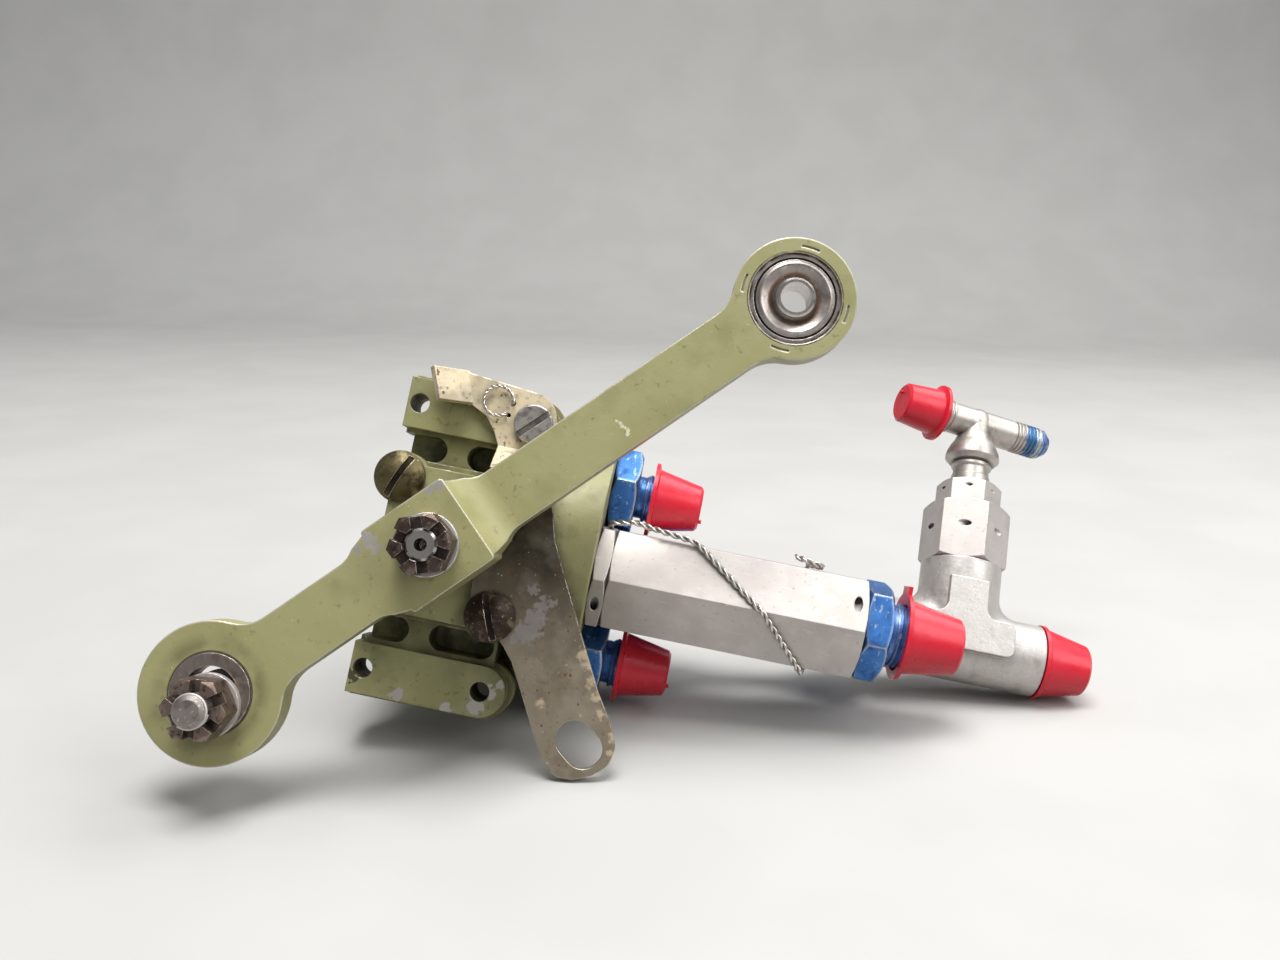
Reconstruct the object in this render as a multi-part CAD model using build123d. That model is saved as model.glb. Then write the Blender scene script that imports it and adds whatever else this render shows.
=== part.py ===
import math
import os

from build123d import *

# Landing gear control valve, millimetres.
# +X runs along the ports, -Y is the lever side, +Z is up.
# The origin is where the lever shaft's axis meets the flat back of the body.
# Depths below are measured back from the front face of the lever's boss.

# Overall depths
body_depth = 82.0
cover_front = 20.8
cover_back = 26.5
ear_front = 25.9
lever_thickness = 6.4
boss_thickness = 13.6
joggle = boss_thickness - lever_thickness

# Clearances
running_fit = 0.05
thread_gap = 0.02
slip_fit = 0.02
seal_squeeze = 0.01

# Lever
lever_angle = 46.0
long_arm = 89.5
short_arm = 51.0
boss_side = 19.2
arm_width = 12.9
upper_ring_radius = 12.8
lower_ring_radius = 14.2
bearing_radius = 9.525
bearing_bore = 3.175
bush_radius = 7.95
bush_bore = 5.4
square_drive = 7.6
lever_travel = 30.0

# Standard hardware
quarter_thread = 3.175
quarter_hex = 11.11
washer_radius = 6.35
washer_thickness = 1.6
castle_height = 7.1
castle_slot = 2.1

# Body
ear_hole_x = 13.0
ear_hole_z = 29.6
ear_hole_radius = 2.15
ear_half_width = 5.6
ear_left = -15.8
ear_back = 38.0
port_face = 31.5
port_pitch = 20.2
port_bottom = 18.5
port_thread = 7.145
head_radius = 32.0
head_start = 20.5
front_port_depth = 42.3
side_port_depth = 53.8
rear_port_depth = 65.3
bore_radius = 11.0
bore_end = 73.5
cover_seal_wall = 2.0
cover_seal_depth = 1.4
port_ring_section = 1.6
seal_radius = 4.5
seal_shoulder = 17.0
cover_screw = 12.7
screw_shank = 2.4
screw_head = 5.5

# Shaft and rotor
journal_radius = 6.35
flange_radius = 10.2
flange_front = 28.0
flange_back = 30.5
rotor_front = 33.0
rotor_back = 72.0
stop_pin_radius = 1.25
stop_pin_orbit = 8.6

# Bracket
bracket_thickness = 2.0

# In-line valve
valve_hex = 22.225
valve_start = 35.2
valve_end = 93.9
small_thread = 5.56
large_thread = 7.145
tube_nut_hex = 17.46
tube_wall = 0.86
seat_edge = 15.0
seat_bore = 3.6
chamber_radius = 6.0
poppet_nose = 2.4
poppet_rim = 4.2
poppet_cone = 1.6
poppet_bore = 3.9

# Tee branch: heights are measured along the branch from the run's axis
tee_x = 123.0
tee_lean = 16.0
run_radius = 8.9
run_left = -19.0
run_right = 20.5
run_thread_length = 7.6
branch_radius = 10.1
branch_blend = 5.0
hex_height = 20.5
adapter_hex = 19.05
adapter_neck_hex = 14.29
adapter_shoulder = 36.5
adapter_top = 43.0
adapter_turn = -18.0
adapter_thread = 4.93
gauge_height = 61.2
gauge_turn = 13.0
gauge_thread = 3.97
gauge_reach = 21.0
gauge_thread_length = 10.4

os.makedirs("parts", exist_ok=True)


def back(depth):
    return depth - body_depth


def block(x0, x1, d0, d1, z0, z1):
    box = Box(x1 - x0, d1 - d0, z1 - z0)
    return Pos((x0 + x1) / 2, (back(d0) + back(d1)) / 2, (z0 + z1) / 2) * box


def rod_y(radius, d0, d1, x=0.0, z=0.0):
    rod = Rot(90, 0, 0) * Cylinder(radius, d1 - d0)
    return Pos(x, (back(d0) + back(d1)) / 2, z) * rod


def rod_x(radius, x0, x1, depth=0.0, z=0.0):
    rod = Rot(0, 90, 0) * Cylinder(radius, x1 - x0)
    return Pos((x0 + x1) / 2, back(depth), z) * rod


def turned(points):
    # Profile points are (distance along the axis, radius); the axis is local Z.
    outline = make_face(Polyline([(r, 0, h) for h, r in points], close=True))
    return revolve(outline, Axis.Z, 360)


def along_x(shape, depth, z, x=0.0):
    return Pos(x, back(depth), z) * Rot(0, 90, 0) * shape


def along_y(shape, x=0.0, z=0.0):
    # Local Z becomes depth measured from the boss face.
    return Pos(x, back(0), z) * Rot(-90, 0, 0) * shape


def hexagon(flats, height, turn=0.0, bevel=0.0):
    # A nut-like prism on local Z with its first corner turned from local X.
    prism = extrude(RegularPolygon(flats / math.sqrt(3), 6, rotation=turn), height)
    if bevel > 0:
        corner = flats / math.sqrt(3) + 0.01
        flat = flats / 2 - 0.1
        drop = (corner - flat) * math.tan(math.radians(30)) * bevel
        cone = turned([(0, 0), (0, flat), (drop, corner), (height - drop, corner),
                       (height, flat), (height, 0)])
        prism = prism & cone
    return prism


def facing(lift):
    # Turn that puts a corner toward the lever side, lifted by so many degrees.
    return -90 - lift


def plate(face, d0, d1):
    # A flat outline drawn in X and Z, given a front and a back depth.
    solid = extrude(face, d1 - d0)
    return Pos(0, back(d1), 0) * Rot(90, 0, 0) * solid


def save(shape, name):
    if isinstance(shape, list):
        shape = Compound(children=[s for s in shape])
    export_step(shape, "parts/" + name + ".step")


def flat_ring(major, minor):
    # A rubber ring on local Z, its section drawn with eight flats.
    corner = minor / math.cos(math.radians(22.5))
    turns = [math.radians(22.5 + 45 * k) for k in range(8)]
    return turned([(corner * math.sin(a), major + corner * math.cos(a)) for a in turns])


def axis_ring(major, minor, depth, x=0.0, z=0.0):
    return Pos(x, back(depth), z) * Rot(90, 0, 0) * flat_ring(major, minor)


# Body casting with its ears, pockets, ports and rotor bore
def ear_outline(grow):
    half = ear_half_width + grow
    width = ear_hole_x - ear_left
    bar = Pos((ear_hole_x + ear_left) / 2, ear_hole_z) * Rectangle(width, 2 * half)
    return bar + Pos(ear_hole_x, ear_hole_z) * Circle(half)


def block_outline(grow):
    shape = Pos(1.75, 0) * Rectangle(34.5 + 2 * grow, 34.6 + 2 * grow)
    for sx in (-1, 1):
        for sz in (-1, 1):
            shape += Pos(sx * cover_screw, sz * cover_screw) * Circle(5.7)
    return shape


def valve_body():
    body = rod_x(head_radius, head_start, port_face, side_port_depth)
    body += plate(block_outline(0.0), cover_back, body_depth)
    body += block(-13.5, head_start + 1, 42.0, body_depth, -24.0, 24.0)
    for side in (-1, 1):
        body += rod_x(11.0, 6.0, head_start + 1, side_port_depth, side * port_pitch)
        ear = plate(ear_outline(0.0), ear_front, 31.0)
        ear += plate(ear_outline(1.0), 31.0, ear_back)
        web = block(-14.5, 14.5, 28.5, 44.0, 16.0, 25.0)
        web -= plate(Pos(-11.6, 20.2) * SlotOverall(12.6, 5.7), 20, 34.5)
        web -= plate(Pos(6.6, 20.2) * SlotOverall(14.6, 5.7), 20, 37.0)
        ear += web
        if side < 0:
            ear = mirror(ear, Plane.XY)
        body += ear
    body -= block(-60, 60, body_depth, body_depth + 30, -60, 60)
    body -= block(port_face, port_face + 5, 0, 120, -60, 60)
    for sx in (-1, 1):
        for sz in (-1, 1):
            body -= rod_y(ear_hole_radius, 20, 60, sx * ear_hole_x, sz * ear_hole_z)
            body -= rod_y(screw_shank + thread_gap, 20, 43, sx * cover_screw, sz * cover_screw)
    body -= rod_y(bore_radius, 20, bore_end)
    seal_path = bore_radius + cover_seal_wall
    groove_bottom = cover_back + cover_seal_depth
    groove = rod_y(seal_path + 1.1, cover_back, groove_bottom)
    groove -= rod_y(seal_path - 1.1, cover_back, groove_bottom)
    body -= groove
    ports = [(front_port_depth, 0), (side_port_depth, port_pitch),
             (side_port_depth, -port_pitch), (rear_port_depth, 0)]
    for depth, z in ports:
        body -= rod_x(port_thread + thread_gap, port_bottom, port_face + 1, depth, z)
        body -= rod_x(port_thread + 2.055, port_face - port_ring_section, port_face + 1, depth, z)
    for depth, angle, length in seal_seats():
        seat = rod_x(seal_radius + slip_fit, 5, seal_shoulder, depth)
        seat += rod_x(3.0, 5, length, depth)
        body -= Rot(0, -angle, 0) * seat
    return body


def seal_seats():
    slant = math.degrees(math.atan2(port_pitch, port_bottom + 1))
    reach = math.hypot(port_pitch, port_bottom + 1)
    return [(front_port_depth, 0, port_bottom + 1), (rear_port_depth, 0, port_bottom + 1),
            (side_port_depth, slant, reach), (side_port_depth, -slant, reach)]


save(valve_body(), "valve_body")
print("body done")


# Front cover with the shaft bearing and the lever's stop slot
def stop_slot():
    steps = 24
    half = stop_pin_radius + 0.15
    reach = lever_travel + 0.5
    arc = CenterArc((0, 0), stop_pin_orbit, lever_angle + 90 - reach, 2 * reach)
    ring = Circle(stop_pin_orbit + half) - Circle(stop_pin_orbit - half)
    wedge_points = [(0, 0)]
    for k in range(steps + 1):
        a = math.radians(lever_angle + 90 - reach + 2 * reach * k / steps)
        wedge_points.append((14 * math.cos(a), 14 * math.sin(a)))
    wedge = make_face(Polyline(wedge_points, close=True))
    shape = ring & wedge
    for t in (0, 1):
        p = arc @ t
        shape += Pos(p.X, p.Y) * Circle(half)
    return shape


def front_cover():
    cover = plate(block_outline(-1.3), cover_front, cover_back)
    cover += rod_y(bore_radius - running_fit, cover_back - 0.5, flange_front)
    cover -= rod_y(journal_radius + running_fit, 10, 40)
    cover -= plate(stop_slot(), 25.4, flange_front + 1)
    for sx in (-1, 1):
        for sz in (-1, 1):
            cover -= rod_y(screw_shank + 0.3, 15, 30, sx * cover_screw, sz * cover_screw)
    return cover


save(front_cover(), "front_cover")
seal_half = cover_seal_depth / 2
save(axis_ring(bore_radius + cover_seal_wall, seal_half - seal_squeeze, cover_back + seal_half),
     "cover_seal")


# Cover screws, domed and slotted
def domed_screw(seat_depth, slot_turn, length):
    rise = 3.0
    ball = (screw_head ** 2 + (rise - 0.8) ** 2) / (2 * (rise - 0.8))
    head = Cylinder(screw_head, 0.8, align=(Align.CENTER, Align.CENTER, Align.MIN))
    dome = Pos(0, 0, rise - ball) * Sphere(ball)
    cap = Cylinder(screw_head, rise, align=(Align.CENTER, Align.CENTER, Align.MIN))
    head = head + (dome & cap)
    head -= Pos(0, 0, rise) * Rot(0, 0, slot_turn) * Box(14, 1.3, 3.6)
    shank = Cylinder(screw_shank, length, align=(Align.CENTER, Align.CENTER, Align.MAX))
    return head + shank, seat_depth


def set_screw(made, x, z):
    solid, seat = made
    return Pos(x, back(seat), z) * Rot(90, 0, 0) * solid


bracket_front = cover_front - bracket_thickness
screws = [set_screw(domed_screw(cover_front, 67.0, 20.0), -cover_screw, cover_screw),
          set_screw(domed_screw(cover_front, 12.0, 20.0), -cover_screw, -cover_screw),
          set_screw(domed_screw(bracket_front, 100.0, 22.0), cover_screw, cover_screw),
          set_screw(domed_screw(bracket_front, 111.0, 22.0), cover_screw, -cover_screw)]
save(screws, "cover_screws")


# Shaft: threaded tip, square drive, collar, journal with seal groove, flange and tang
def control_shaft():
    profile = [(-7.2, 0), (-7.2, 2.7), (-6.7, quarter_thread), (1.0, quarter_thread),
               (1.0, 3.6), (boss_thickness, 3.6), (boss_thickness, 7.5), (16.1, 7.5),
               (16.1, journal_radius), (22.6, journal_radius), (22.6, 4.75), (24.8, 4.75),
               (24.8, journal_radius), (flange_front, journal_radius),
               (flange_front, flange_radius), (flange_back, flange_radius),
               (flange_back, 5.0), (rotor_front, 5.0), (rotor_front, 0)]
    shaft = along_y(turned(profile))
    square = Rot(0, -lever_angle, 0) * block(-3.78, 3.78, 1.0, boss_thickness, -3.78, 3.78)
    shaft += square
    tang = Rot(0, -lever_angle, 0) * block(-7.0, 7.0, flange_back, 38.0, -3.0, 3.0)
    shaft += tang
    dimple = along_y(turned([(-8, 0), (-8, 1.25), (-1.6, 1.25), (-0.9, 0)]))
    shaft -= dimple
    pin_a = math.radians(lever_angle + 90)
    px = stop_pin_orbit * math.cos(pin_a)
    pz = stop_pin_orbit * math.sin(pin_a)
    shaft -= rod_y(stop_pin_radius + slip_fit, 20, 40, px, pz) & rod_y(12, 27, 31)
    return shaft


pin_angle = math.radians(lever_angle + 90)
pin_x = stop_pin_orbit * math.cos(pin_angle)
pin_z = stop_pin_orbit * math.sin(pin_angle)
save(control_shaft(), "control_shaft")
save(rod_y(stop_pin_radius, 26.0, flange_back, pin_x, pin_z), "stop_pin")
save(axis_ring(5.57, 0.82, 23.7), "shaft_seal")


# Washers and castellated nuts
def washer(front, x=0.0, z=0.0):
    ring = rod_y(washer_radius, front, front + washer_thickness, x, z)
    return ring - rod_y(quarter_thread + 0.1, front - 1, front + 4, x, z)


def castle_nut(front, x, z, turn):
    nut = hexagon(quarter_hex, castle_height, turn, 1.0)
    for k in range(3):
        cut = Pos(0, 0, castle_height) * Rot(0, 0, turn + 30 + 60 * k) * Box(16, castle_slot, 5.6)
        nut -= cut
    nut -= Cylinder(quarter_thread + thread_gap, 40)
    return Pos(x, back(front + castle_height), z) * Rot(90, 0, 0) * nut


save(washer(-washer_thickness), "shaft_washer")
save(castle_nut(-washer_thickness - castle_height, 0, 0, 20.0), "shaft_nut")


# Lever: two arms on different planes joined through a square boss
def lever_plan(points, ring_u, ring_radius, neck):
    arm = make_face(Polyline(points, close=True))
    ring = Pos(ring_u, 0) * Circle(ring_radius)
    shape = arm + ring
    vertices = []
    for v in shape.vertices():
        near = abs(math.hypot(v.X - ring_u, v.Y) - ring_radius) < 0.01
        if near and abs(abs(v.Y) - arm_width / 2) < 0.05:
            vertices.append(v)
    return fillet(vertices, neck)


def lever():
    half = boss_side / 2
    arm = arm_width / 2
    boss = plate(RectangleRounded(boss_side, boss_side, 0.8), 0, boss_thickness)
    upper_points = [(half - 1, arm), (long_arm, arm), (long_arm, -arm), (half - 1, -arm)]
    upper = lever_plan(upper_points, long_arm, upper_ring_radius, 9.0)
    lower_points = [(-half + 1, arm), (-short_arm, arm), (-short_arm, -arm), (-half + 1, -arm)]
    lower = lever_plan(lower_points, -short_arm, lower_ring_radius, 8.0)
    shape = boss + plate(upper, joggle, boss_thickness)
    shape += plate(lower, 0, lever_thickness)
    for side in (1, -1):
        root = make_face(Polyline([(side * half, half - 0.8), (side * (half + 7.0), arm),
                                   (side * (half + 7.0), -arm), (side * half, -half + 0.8),
                                   (side * (half - 1), -half + 0.8),
                                   (side * (half - 1), half - 0.8)], close=True))
        for flip in (1, -1):
            corner = Pos(side * (half + 7.0), flip * (arm + 6.2)) * Circle(6.2)
            root -= corner
        if side > 0:
            shape += plate(root, joggle, boss_thickness)
            ramp = plate(root, 0, joggle + 0.5)
            hollow = Pos(half + joggle, back(0), 0) * Cylinder(joggle, 40)
            shape += ramp - hollow - block(half + joggle, half + 20, -1, joggle, -20, 20)
        else:
            shape += plate(root, 0, lever_thickness)
            ramp = plate(root, lever_thickness - 0.5, boss_thickness)
            hollow = Pos(-half - joggle, back(boss_thickness), 0) * Cylinder(joggle, 40)
            shape += ramp - hollow - block(-half - 20, -half - joggle, lever_thickness, 20, -20, 20)
    shape -= plate(Rectangle(square_drive, square_drive), -5, 30)
    shape -= rod_y(bearing_radius + slip_fit, -5, 30, long_arm, 0)
    shape -= rod_y(bush_radius + slip_fit, -5, 30, -short_arm, 0)
    for k in range(4):
        mark = rod_y(11.3, 5, joggle + 0.3, long_arm, 0) - rod_y(10.8, 5, joggle + 0.3, long_arm, 0)
        bite = Pos(long_arm, 0, 0) * Rot(0, -38 - 90 * k, 0) * block(8, 12, 5, 8, -1.9, 1.9)
        shape -= mark & bite
    return Rot(0, -lever_angle, 0) * shape


save(lever(), "lever")
print("lever done")


def on_lever(u, v):
    a = math.radians(lever_angle)
    return u * math.cos(a) - v * math.sin(a), u * math.sin(a) + v * math.cos(a)


ring_x, ring_z = on_lever(-short_arm, 0)
bearing_x, bearing_z = on_lever(long_arm, 0)
bushing = rod_y(bush_radius, -0.3, lever_thickness + 0.3, ring_x, ring_z)
bushing -= rod_y(bush_bore, -2, 10, ring_x, ring_z)
save(bushing, "lever_bushing")


# Self-aligning bearing in the long arm
bearing_mid = (joggle + boss_thickness) / 2
ball = 5.3


def bearing_outer():
    w = 2.95
    lip = w - 0.75
    lip_radius = math.sqrt(ball ** 2 - lip ** 2)
    shield = [(lip, lip_radius), (w - 0.5, 5.3), (w - 0.1, 6.2), (w + 0.3, 7.0), (w + 0.35, 7.3),
              (w + 0.15, 7.65), (w, 7.75), (w, 8.1), (w - 0.5, 8.2), (w - 0.5, 8.5), (w, 8.6),
              (w, bearing_radius)]
    profile = [(-h, r) for h, r in shield] + shield[::-1]
    outside = Polyline([(r, 0, h) for h, r in profile])
    inside = ThreePointArc((lip_radius, 0, lip), (ball, 0, 0), (lip_radius, 0, -lip))
    ring = revolve(make_face([outside, inside]), Axis.Z, 360)
    return Pos(bearing_x, back(bearing_mid), bearing_z) * Rot(-90, 0, 0) * ring


def bearing_inner():
    core = Sphere(ball - running_fit) & Cylinder(8, 6.6)
    core += turned([(-4.25, 0), (-4.25, 3.7), (-3.85, 4.15), (3.85, 4.15), (4.25, 3.7), (4.25, 0)])
    core -= Cylinder(bearing_bore, 20)
    return Pos(bearing_x, back(bearing_mid), bearing_z) * Rot(-90, 0, 0) * core


save(bearing_outer(), "bearing_race")
save(bearing_inner(), "bearing_ball")


# Link bolt hanging low in the bushing
bolt_x = ring_x + 0.42
bolt_z = ring_z - 2.1
bolt_profile = [(-11.2, 0), (-11.2, 2.3), (-10.6, quarter_thread),
                (8.3, quarter_thread), (8.3, 0)]
bolt = Pos(bolt_x, back(0), bolt_z) * Rot(-90, 0, 0) * turned(bolt_profile)
bolt_head = Pos(bolt_x, back(12.3), bolt_z) * Rot(90, 0, 0) * hexagon(quarter_hex, 4.0, 10, 1.0)
save(bolt + bolt_head, "link_bolt")
save([washer(-0.3 - washer_thickness, bolt_x, bolt_z),
      washer(lever_thickness + 0.3, bolt_x, bolt_z)], "link_washers")
save(castle_nut(-0.3 - washer_thickness - castle_height, bolt_x, bolt_z, 5.0), "link_nut")
print("hardware done")


# Rotor, its thrust washer, four port seals and their spring washers
def rotor():
    barrel = rod_y(bore_radius - running_fit, rotor_front, rotor_back)
    slot = block(-7.2, 7.2, rotor_front - 1, 38.3, -3.05, 3.05)
    barrel -= Rot(0, -lever_angle, 0) * slot
    barrel -= rod_y(2.0, front_port_depth, rotor_back + 1)
    for depth, turn in ((front_port_depth, 25.0), (side_port_depth, 71.0),
                        (side_port_depth, -21.0), (rear_port_depth, 25.0)):
        hole = rod_x(2.4, 0, 14, depth)
        barrel -= Rot(0, -turn, 0) * hole
    return barrel


save(rotor(), "rotor")
save(rod_y(10.6, rotor_back, bore_end), "thrust_washer")
seals = []
springs = []
for depth, angle, length in seal_seats():
    sleeve = rod_x(seal_radius, 5, 15.6, depth) - rod_x(2.6, 4, 20, depth)
    sleeve -= rod_y(bore_radius - running_fit + 0.03, 30, 80)
    ring = rod_x(seal_radius - 0.1, 15.6, seal_shoulder, depth) - rod_x(3.2, 15, 20, depth)
    seals.append(Rot(0, -angle, 0) * sleeve)
    springs.append(Rot(0, -angle, 0) * ring)
save(seals, "port_seals")
save(springs, "seal_springs")
print("rotor done")


# Bent bracket clamped by the cover screws and the ear screw
def bracket():
    lower = [(6.1, 18.6), (8.8, 11.0), (9.6, 4.0), (8.6, -2.0), (7.5, -5.8), (7.9, -9.4),
             (16.8, -18.3), (19.2, -21.2), (23.3, -28.6), (26.5, -34.5), (30.0, -40.2),
             (32.6, -42.6), (36.4, -42.8), (40.6, -40.9), (43.6, -38.2), (44.3, -34.2),
             (42.1, -29.3), (38.5, -23.9), (32.5, -12.7), (25.7, 0.3), (22.9, 5.9), (19.3, 18.6)]
    flat = make_face(Polyline(lower, close=True))
    flat = fillet([v for v in flat.vertices() if v.Y < -33], 3.5)
    flat = fillet([v for v in flat.vertices() if v.X < 10 and -10 < v.Y < 12], 3.0)
    low = plate(flat, bracket_front, cover_front)
    upper = [(6.1, 23.6), (4.6, 26.6), (2.3, 29.5), (-1.5, 31.4), (-4.2, 38.2),
             (16.4, 36.2), (18.6, 27.2), (19.3, 23.6)]
    high_face = make_face(Polyline(upper, close=True))
    corner = [v for v in high_face.vertices() if v.X > 15 and v.Y > 30]
    high_face = fillet(corner, 5.5)
    high = plate(high_face, ear_front - bracket_thickness, ear_front)
    side = [(bracket_front, 18.6), (bracket_front, 18.5), (cover_front, 18.5),
            (cover_front, 18.6), (ear_front, 23.6), (ear_front, 23.7),
            (ear_front - bracket_thickness, 23.7), (ear_front - bracket_thickness, 23.6)]
    slope_face = make_face(Polyline([(0, back(d), z) for d, z in side], close=True))
    slope = Pos(6.1, 0, 0) * extrude(slope_face, 13.2, dir=(1, 0, 0))
    tab_face = make_face(Polyline([(-1.5, 31.4), (-4.2, 38.2), (-12.6, 36.8), (-9.9, 30.0)],
                                  close=True))
    tab = extrude(tab_face, bracket_thickness)
    tab = Pos(0, back(ear_front), 0) * Rot(90, 0, 0) * tab
    hinge = Axis((-1.5, back(ear_front), 31.4), (-2.7, 0, 6.8))
    tab = tab.rotate(hinge, 32.0)
    shape = low + high + slope + tab
    bend = Cylinder(0.9, 7.3, align=(Align.CENTER, Align.CENTER, Align.MIN))
    shape += Pos(-1.5, back(ear_front - 0.9), 31.4) * Rot(0, -21.7, 0) * bend
    for sz in (-1, 1):
        shape -= rod_y(screw_shank + 0.3, 10, 40, cover_screw, sz * cover_screw)
    shape -= rod_y(ear_hole_radius, 10, 40, ear_hole_x, ear_hole_z)
    slot = Pos(36.6, -35.2) * Rot(0, 0, -38) * SlotOverall(10.8, 8.2)
    shape -= plate(slot, 10, 40)
    for x, z in loop_ends:
        shape -= rod_y(0.5, 20, 40, x, z)
    return shape


loop_ends = [(7.0, 30.6), (7.6, 33.4)]
save(bracket(), "bracket")


# Flat-headed screw and nut through the upper right ear
def ear_screw():
    head = Cylinder(4.3, 2.5, align=(Align.CENTER, Align.CENTER, Align.MIN))
    head = chamfer(head.edges().filter_by(GeomType.CIRCLE).sort_by(Axis.Z)[-1], 0.3)
    head -= Pos(0, 0, 2.5) * Rot(0, 0, 45) * Box(12, 1.3, 3.0)
    shank = Cylinder(2.08, 19.5, align=(Align.CENTER, Align.CENTER, Align.MAX))
    seat = ear_front - bracket_thickness
    return Pos(ear_hole_x, back(seat), ear_hole_z) * Rot(90, 0, 0) * (head + shank)


ear_nut = hexagon(8.73, 3.2, 0, 1.0) - Cylinder(2.1, 20)
ear_nut = Pos(ear_hole_x, back(ear_back + 3.2), ear_hole_z) * Rot(90, 0, 0) * ear_nut
save(ear_screw(), "ear_screw")
save(ear_nut, "ear_nut")


def tube(points, radii, radius):
    path = FilletPolyline(points, radius=radii) if radii else Polyline(points)
    start = path @ 0
    heading = path % 0
    face = Plane(origin=start, z_dir=heading) * RegularPolygon(radius, 10)
    return sweep(face, path=path)


# Loop of locking wire hooked through the bracket beside the ear screw
y_loop = back(ear_front - bracket_thickness - 0.75)
y_in = back(ear_front - 0.6)
loop = tube([(7.0, y_in, 30.6), (7.0, y_loop, 30.6), (4.0, y_loop, 30.3), (1.5, y_loop, 31.8),
             (1.0, y_loop, 34.4), (2.9, y_loop - 0.4, 36.3), (5.8, y_loop - 0.4, 35.9),
             (7.6, y_loop, 33.4), (7.6, y_in, 33.4)], 0.7, 0.38)
save(loop, "wire_loop")
print("bracket done")


# Flared-tube unions: hexagon, boss thread inside the port, thread and cone outside
def union_piece(flats, hex_length, turn, inner, boss_r, outer_r, reach, bore):
    cone_drop = outer_r * 0.4
    cone_length = cone_drop / math.tan(math.radians(37))
    profile = [(-inner, 0), (-inner, boss_r - 0.6), (-inner + 0.6, boss_r), (0.0, boss_r),
               (0.0, flats / 2 - 0.4), (hex_length, flats / 2 - 0.4), (hex_length, outer_r - 0.5),
               (hex_length + 1.6, outer_r - 0.5), (hex_length + 2.1, outer_r),
               (reach - cone_length, outer_r), (reach, outer_r - cone_drop), (reach, 0)]
    solid = turned(profile) + hexagon(flats, hex_length, turn, 1.0)
    return solid - Cylinder(bore, 200)


def boss_seal(depth, z):
    ring = flat_ring(port_thread + 1.005, port_ring_section / 2 - seal_squeeze)
    return along_x(ring, depth, z, port_face - 0.8)


side_reach = 18.2
inner_reach = port_face - port_bottom - 0.5
side_union = union_piece(19.05, 6.2, facing(14.7), inner_reach, port_thread, small_thread,
                         side_reach, 2.4)
save(along_x(side_union, side_port_depth, port_pitch, port_face), "upper_union")
save(along_x(side_union, side_port_depth, -port_pitch, port_face), "lower_union")
save([boss_seal(side_port_depth, port_pitch), boss_seal(side_port_depth, -port_pitch),
      boss_seal(front_port_depth, 0), boss_seal(rear_port_depth, 0)], "port_rings")


# Red push-on caps: open end at local zero, closed end along +Z
def straight_end(reach, radius, drop):
    return reach - drop / math.tan(math.radians(37))


def red_cap(lip, root, tip, length, fitting, contact, nib=0.0):
    wall = 0.9
    slope = (root - tip) / (length - 1.2)
    inside = fitting + slip_fit + slope * contact
    inner_tip = inside - slope * (length - wall)
    inner_tip = min(inner_tip, tip - 0.7)
    outer = turned([(0, 0), (0, lip), (0.9, lip), (1.3, root), (length - 0.6, tip + 0.1),
                    (length, tip - 0.6), (length, 0)])
    hollow = turned([(-1, 0), (-1, inside), (0, inside), (contact, fitting + slip_fit),
                     (length - wall, inner_tip), (length - wall, 0)])
    cap = outer - hollow
    if nib > 0:
        cap += Pos(tip * 0.55, 0, length) * Cylinder(nib, 1.6)
    return cap


cap_start = 9.6
side_grip = straight_end(side_reach, small_thread, small_thread * 0.4) - cap_start
side_cap = red_cap(9.0, 7.6, 5.4, 12.3, small_thread, side_grip, 0.5)
save(along_x(side_cap, side_port_depth, port_pitch, port_face + cap_start), "upper_cap")
save(along_x(side_cap, side_port_depth, -port_pitch, port_face + cap_start), "lower_cap")
print("unions done")


# In-line valve: jam nut, hexagon barrel, seat, poppet, spring and outlet union
def corner_hole(x, lift, radius):
    # Locking-wire hole drilled across the hexagon corner at this lift.
    away = valve_hex / math.sqrt(3) - 3.2
    a = math.radians(lift)
    drill = Cylinder(radius, 16)
    spot = Pos(x, back(front_port_depth) - away * math.cos(a), away * math.sin(a))
    return spot * Rot(-lift, 0, 0) * drill


jam_nut = hexagon(valve_hex, valve_start - port_face, facing(-4), 0.6)
jam_nut -= Cylinder(port_thread + thread_gap, 40)
jam_nut = along_x(jam_nut, front_port_depth, 0, port_face)
jam_mid = (port_face + valve_start) / 2
for lift in (116, -64):
    jam_nut -= corner_hole(jam_mid, lift, 0.95)
save(jam_nut, "valve_jam_nut")


def valve_barrel():
    length = valve_end - valve_start
    barrel = hexagon(valve_hex, length, facing(-2), 0.5)
    barrel += Pos(0, 0, -(valve_start - port_bottom - 0.5)) * Cylinder(
        port_thread, valve_start - port_bottom - 0.5 + 1,
        align=(Align.CENTER, Align.CENTER, Align.MIN))
    hollow = turned([(-30, 0), (-30, 2.5), (seat_edge - 2, 2.5), (seat_edge - 2, seat_bore),
                     (seat_edge, seat_bore), (seat_edge, chamber_radius),
                     (length - 12.7, chamber_radius), (length - 12.7, port_thread + thread_gap),
                     (length + 1, port_thread + thread_gap), (length + 1, 0)])
    barrel -= hollow
    barrel -= Pos(0, 0, length) * Cylinder(9.2, 3.2)
    barrel = along_x(barrel, front_port_depth, 0, valve_start)
    barrel -= corner_hole(valve_end - 2.4, 58, 1.0)
    return barrel


save(valve_barrel(), "valve_barrel")
outlet = union_piece(20.64, 6.1, facing(-15.2), 10.0, port_thread, large_thread, 19.0, 3.4)
save(along_x(outlet, front_port_depth, 0, valve_end), "outlet_union")
outlet_half = port_ring_section / 2
outlet_ring = flat_ring(port_thread + 1.005, outlet_half - seal_squeeze)
outlet_seal = along_x(outlet_ring, front_port_depth, 0, valve_end - outlet_half)
save(outlet_seal, "outlet_ring")

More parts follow.
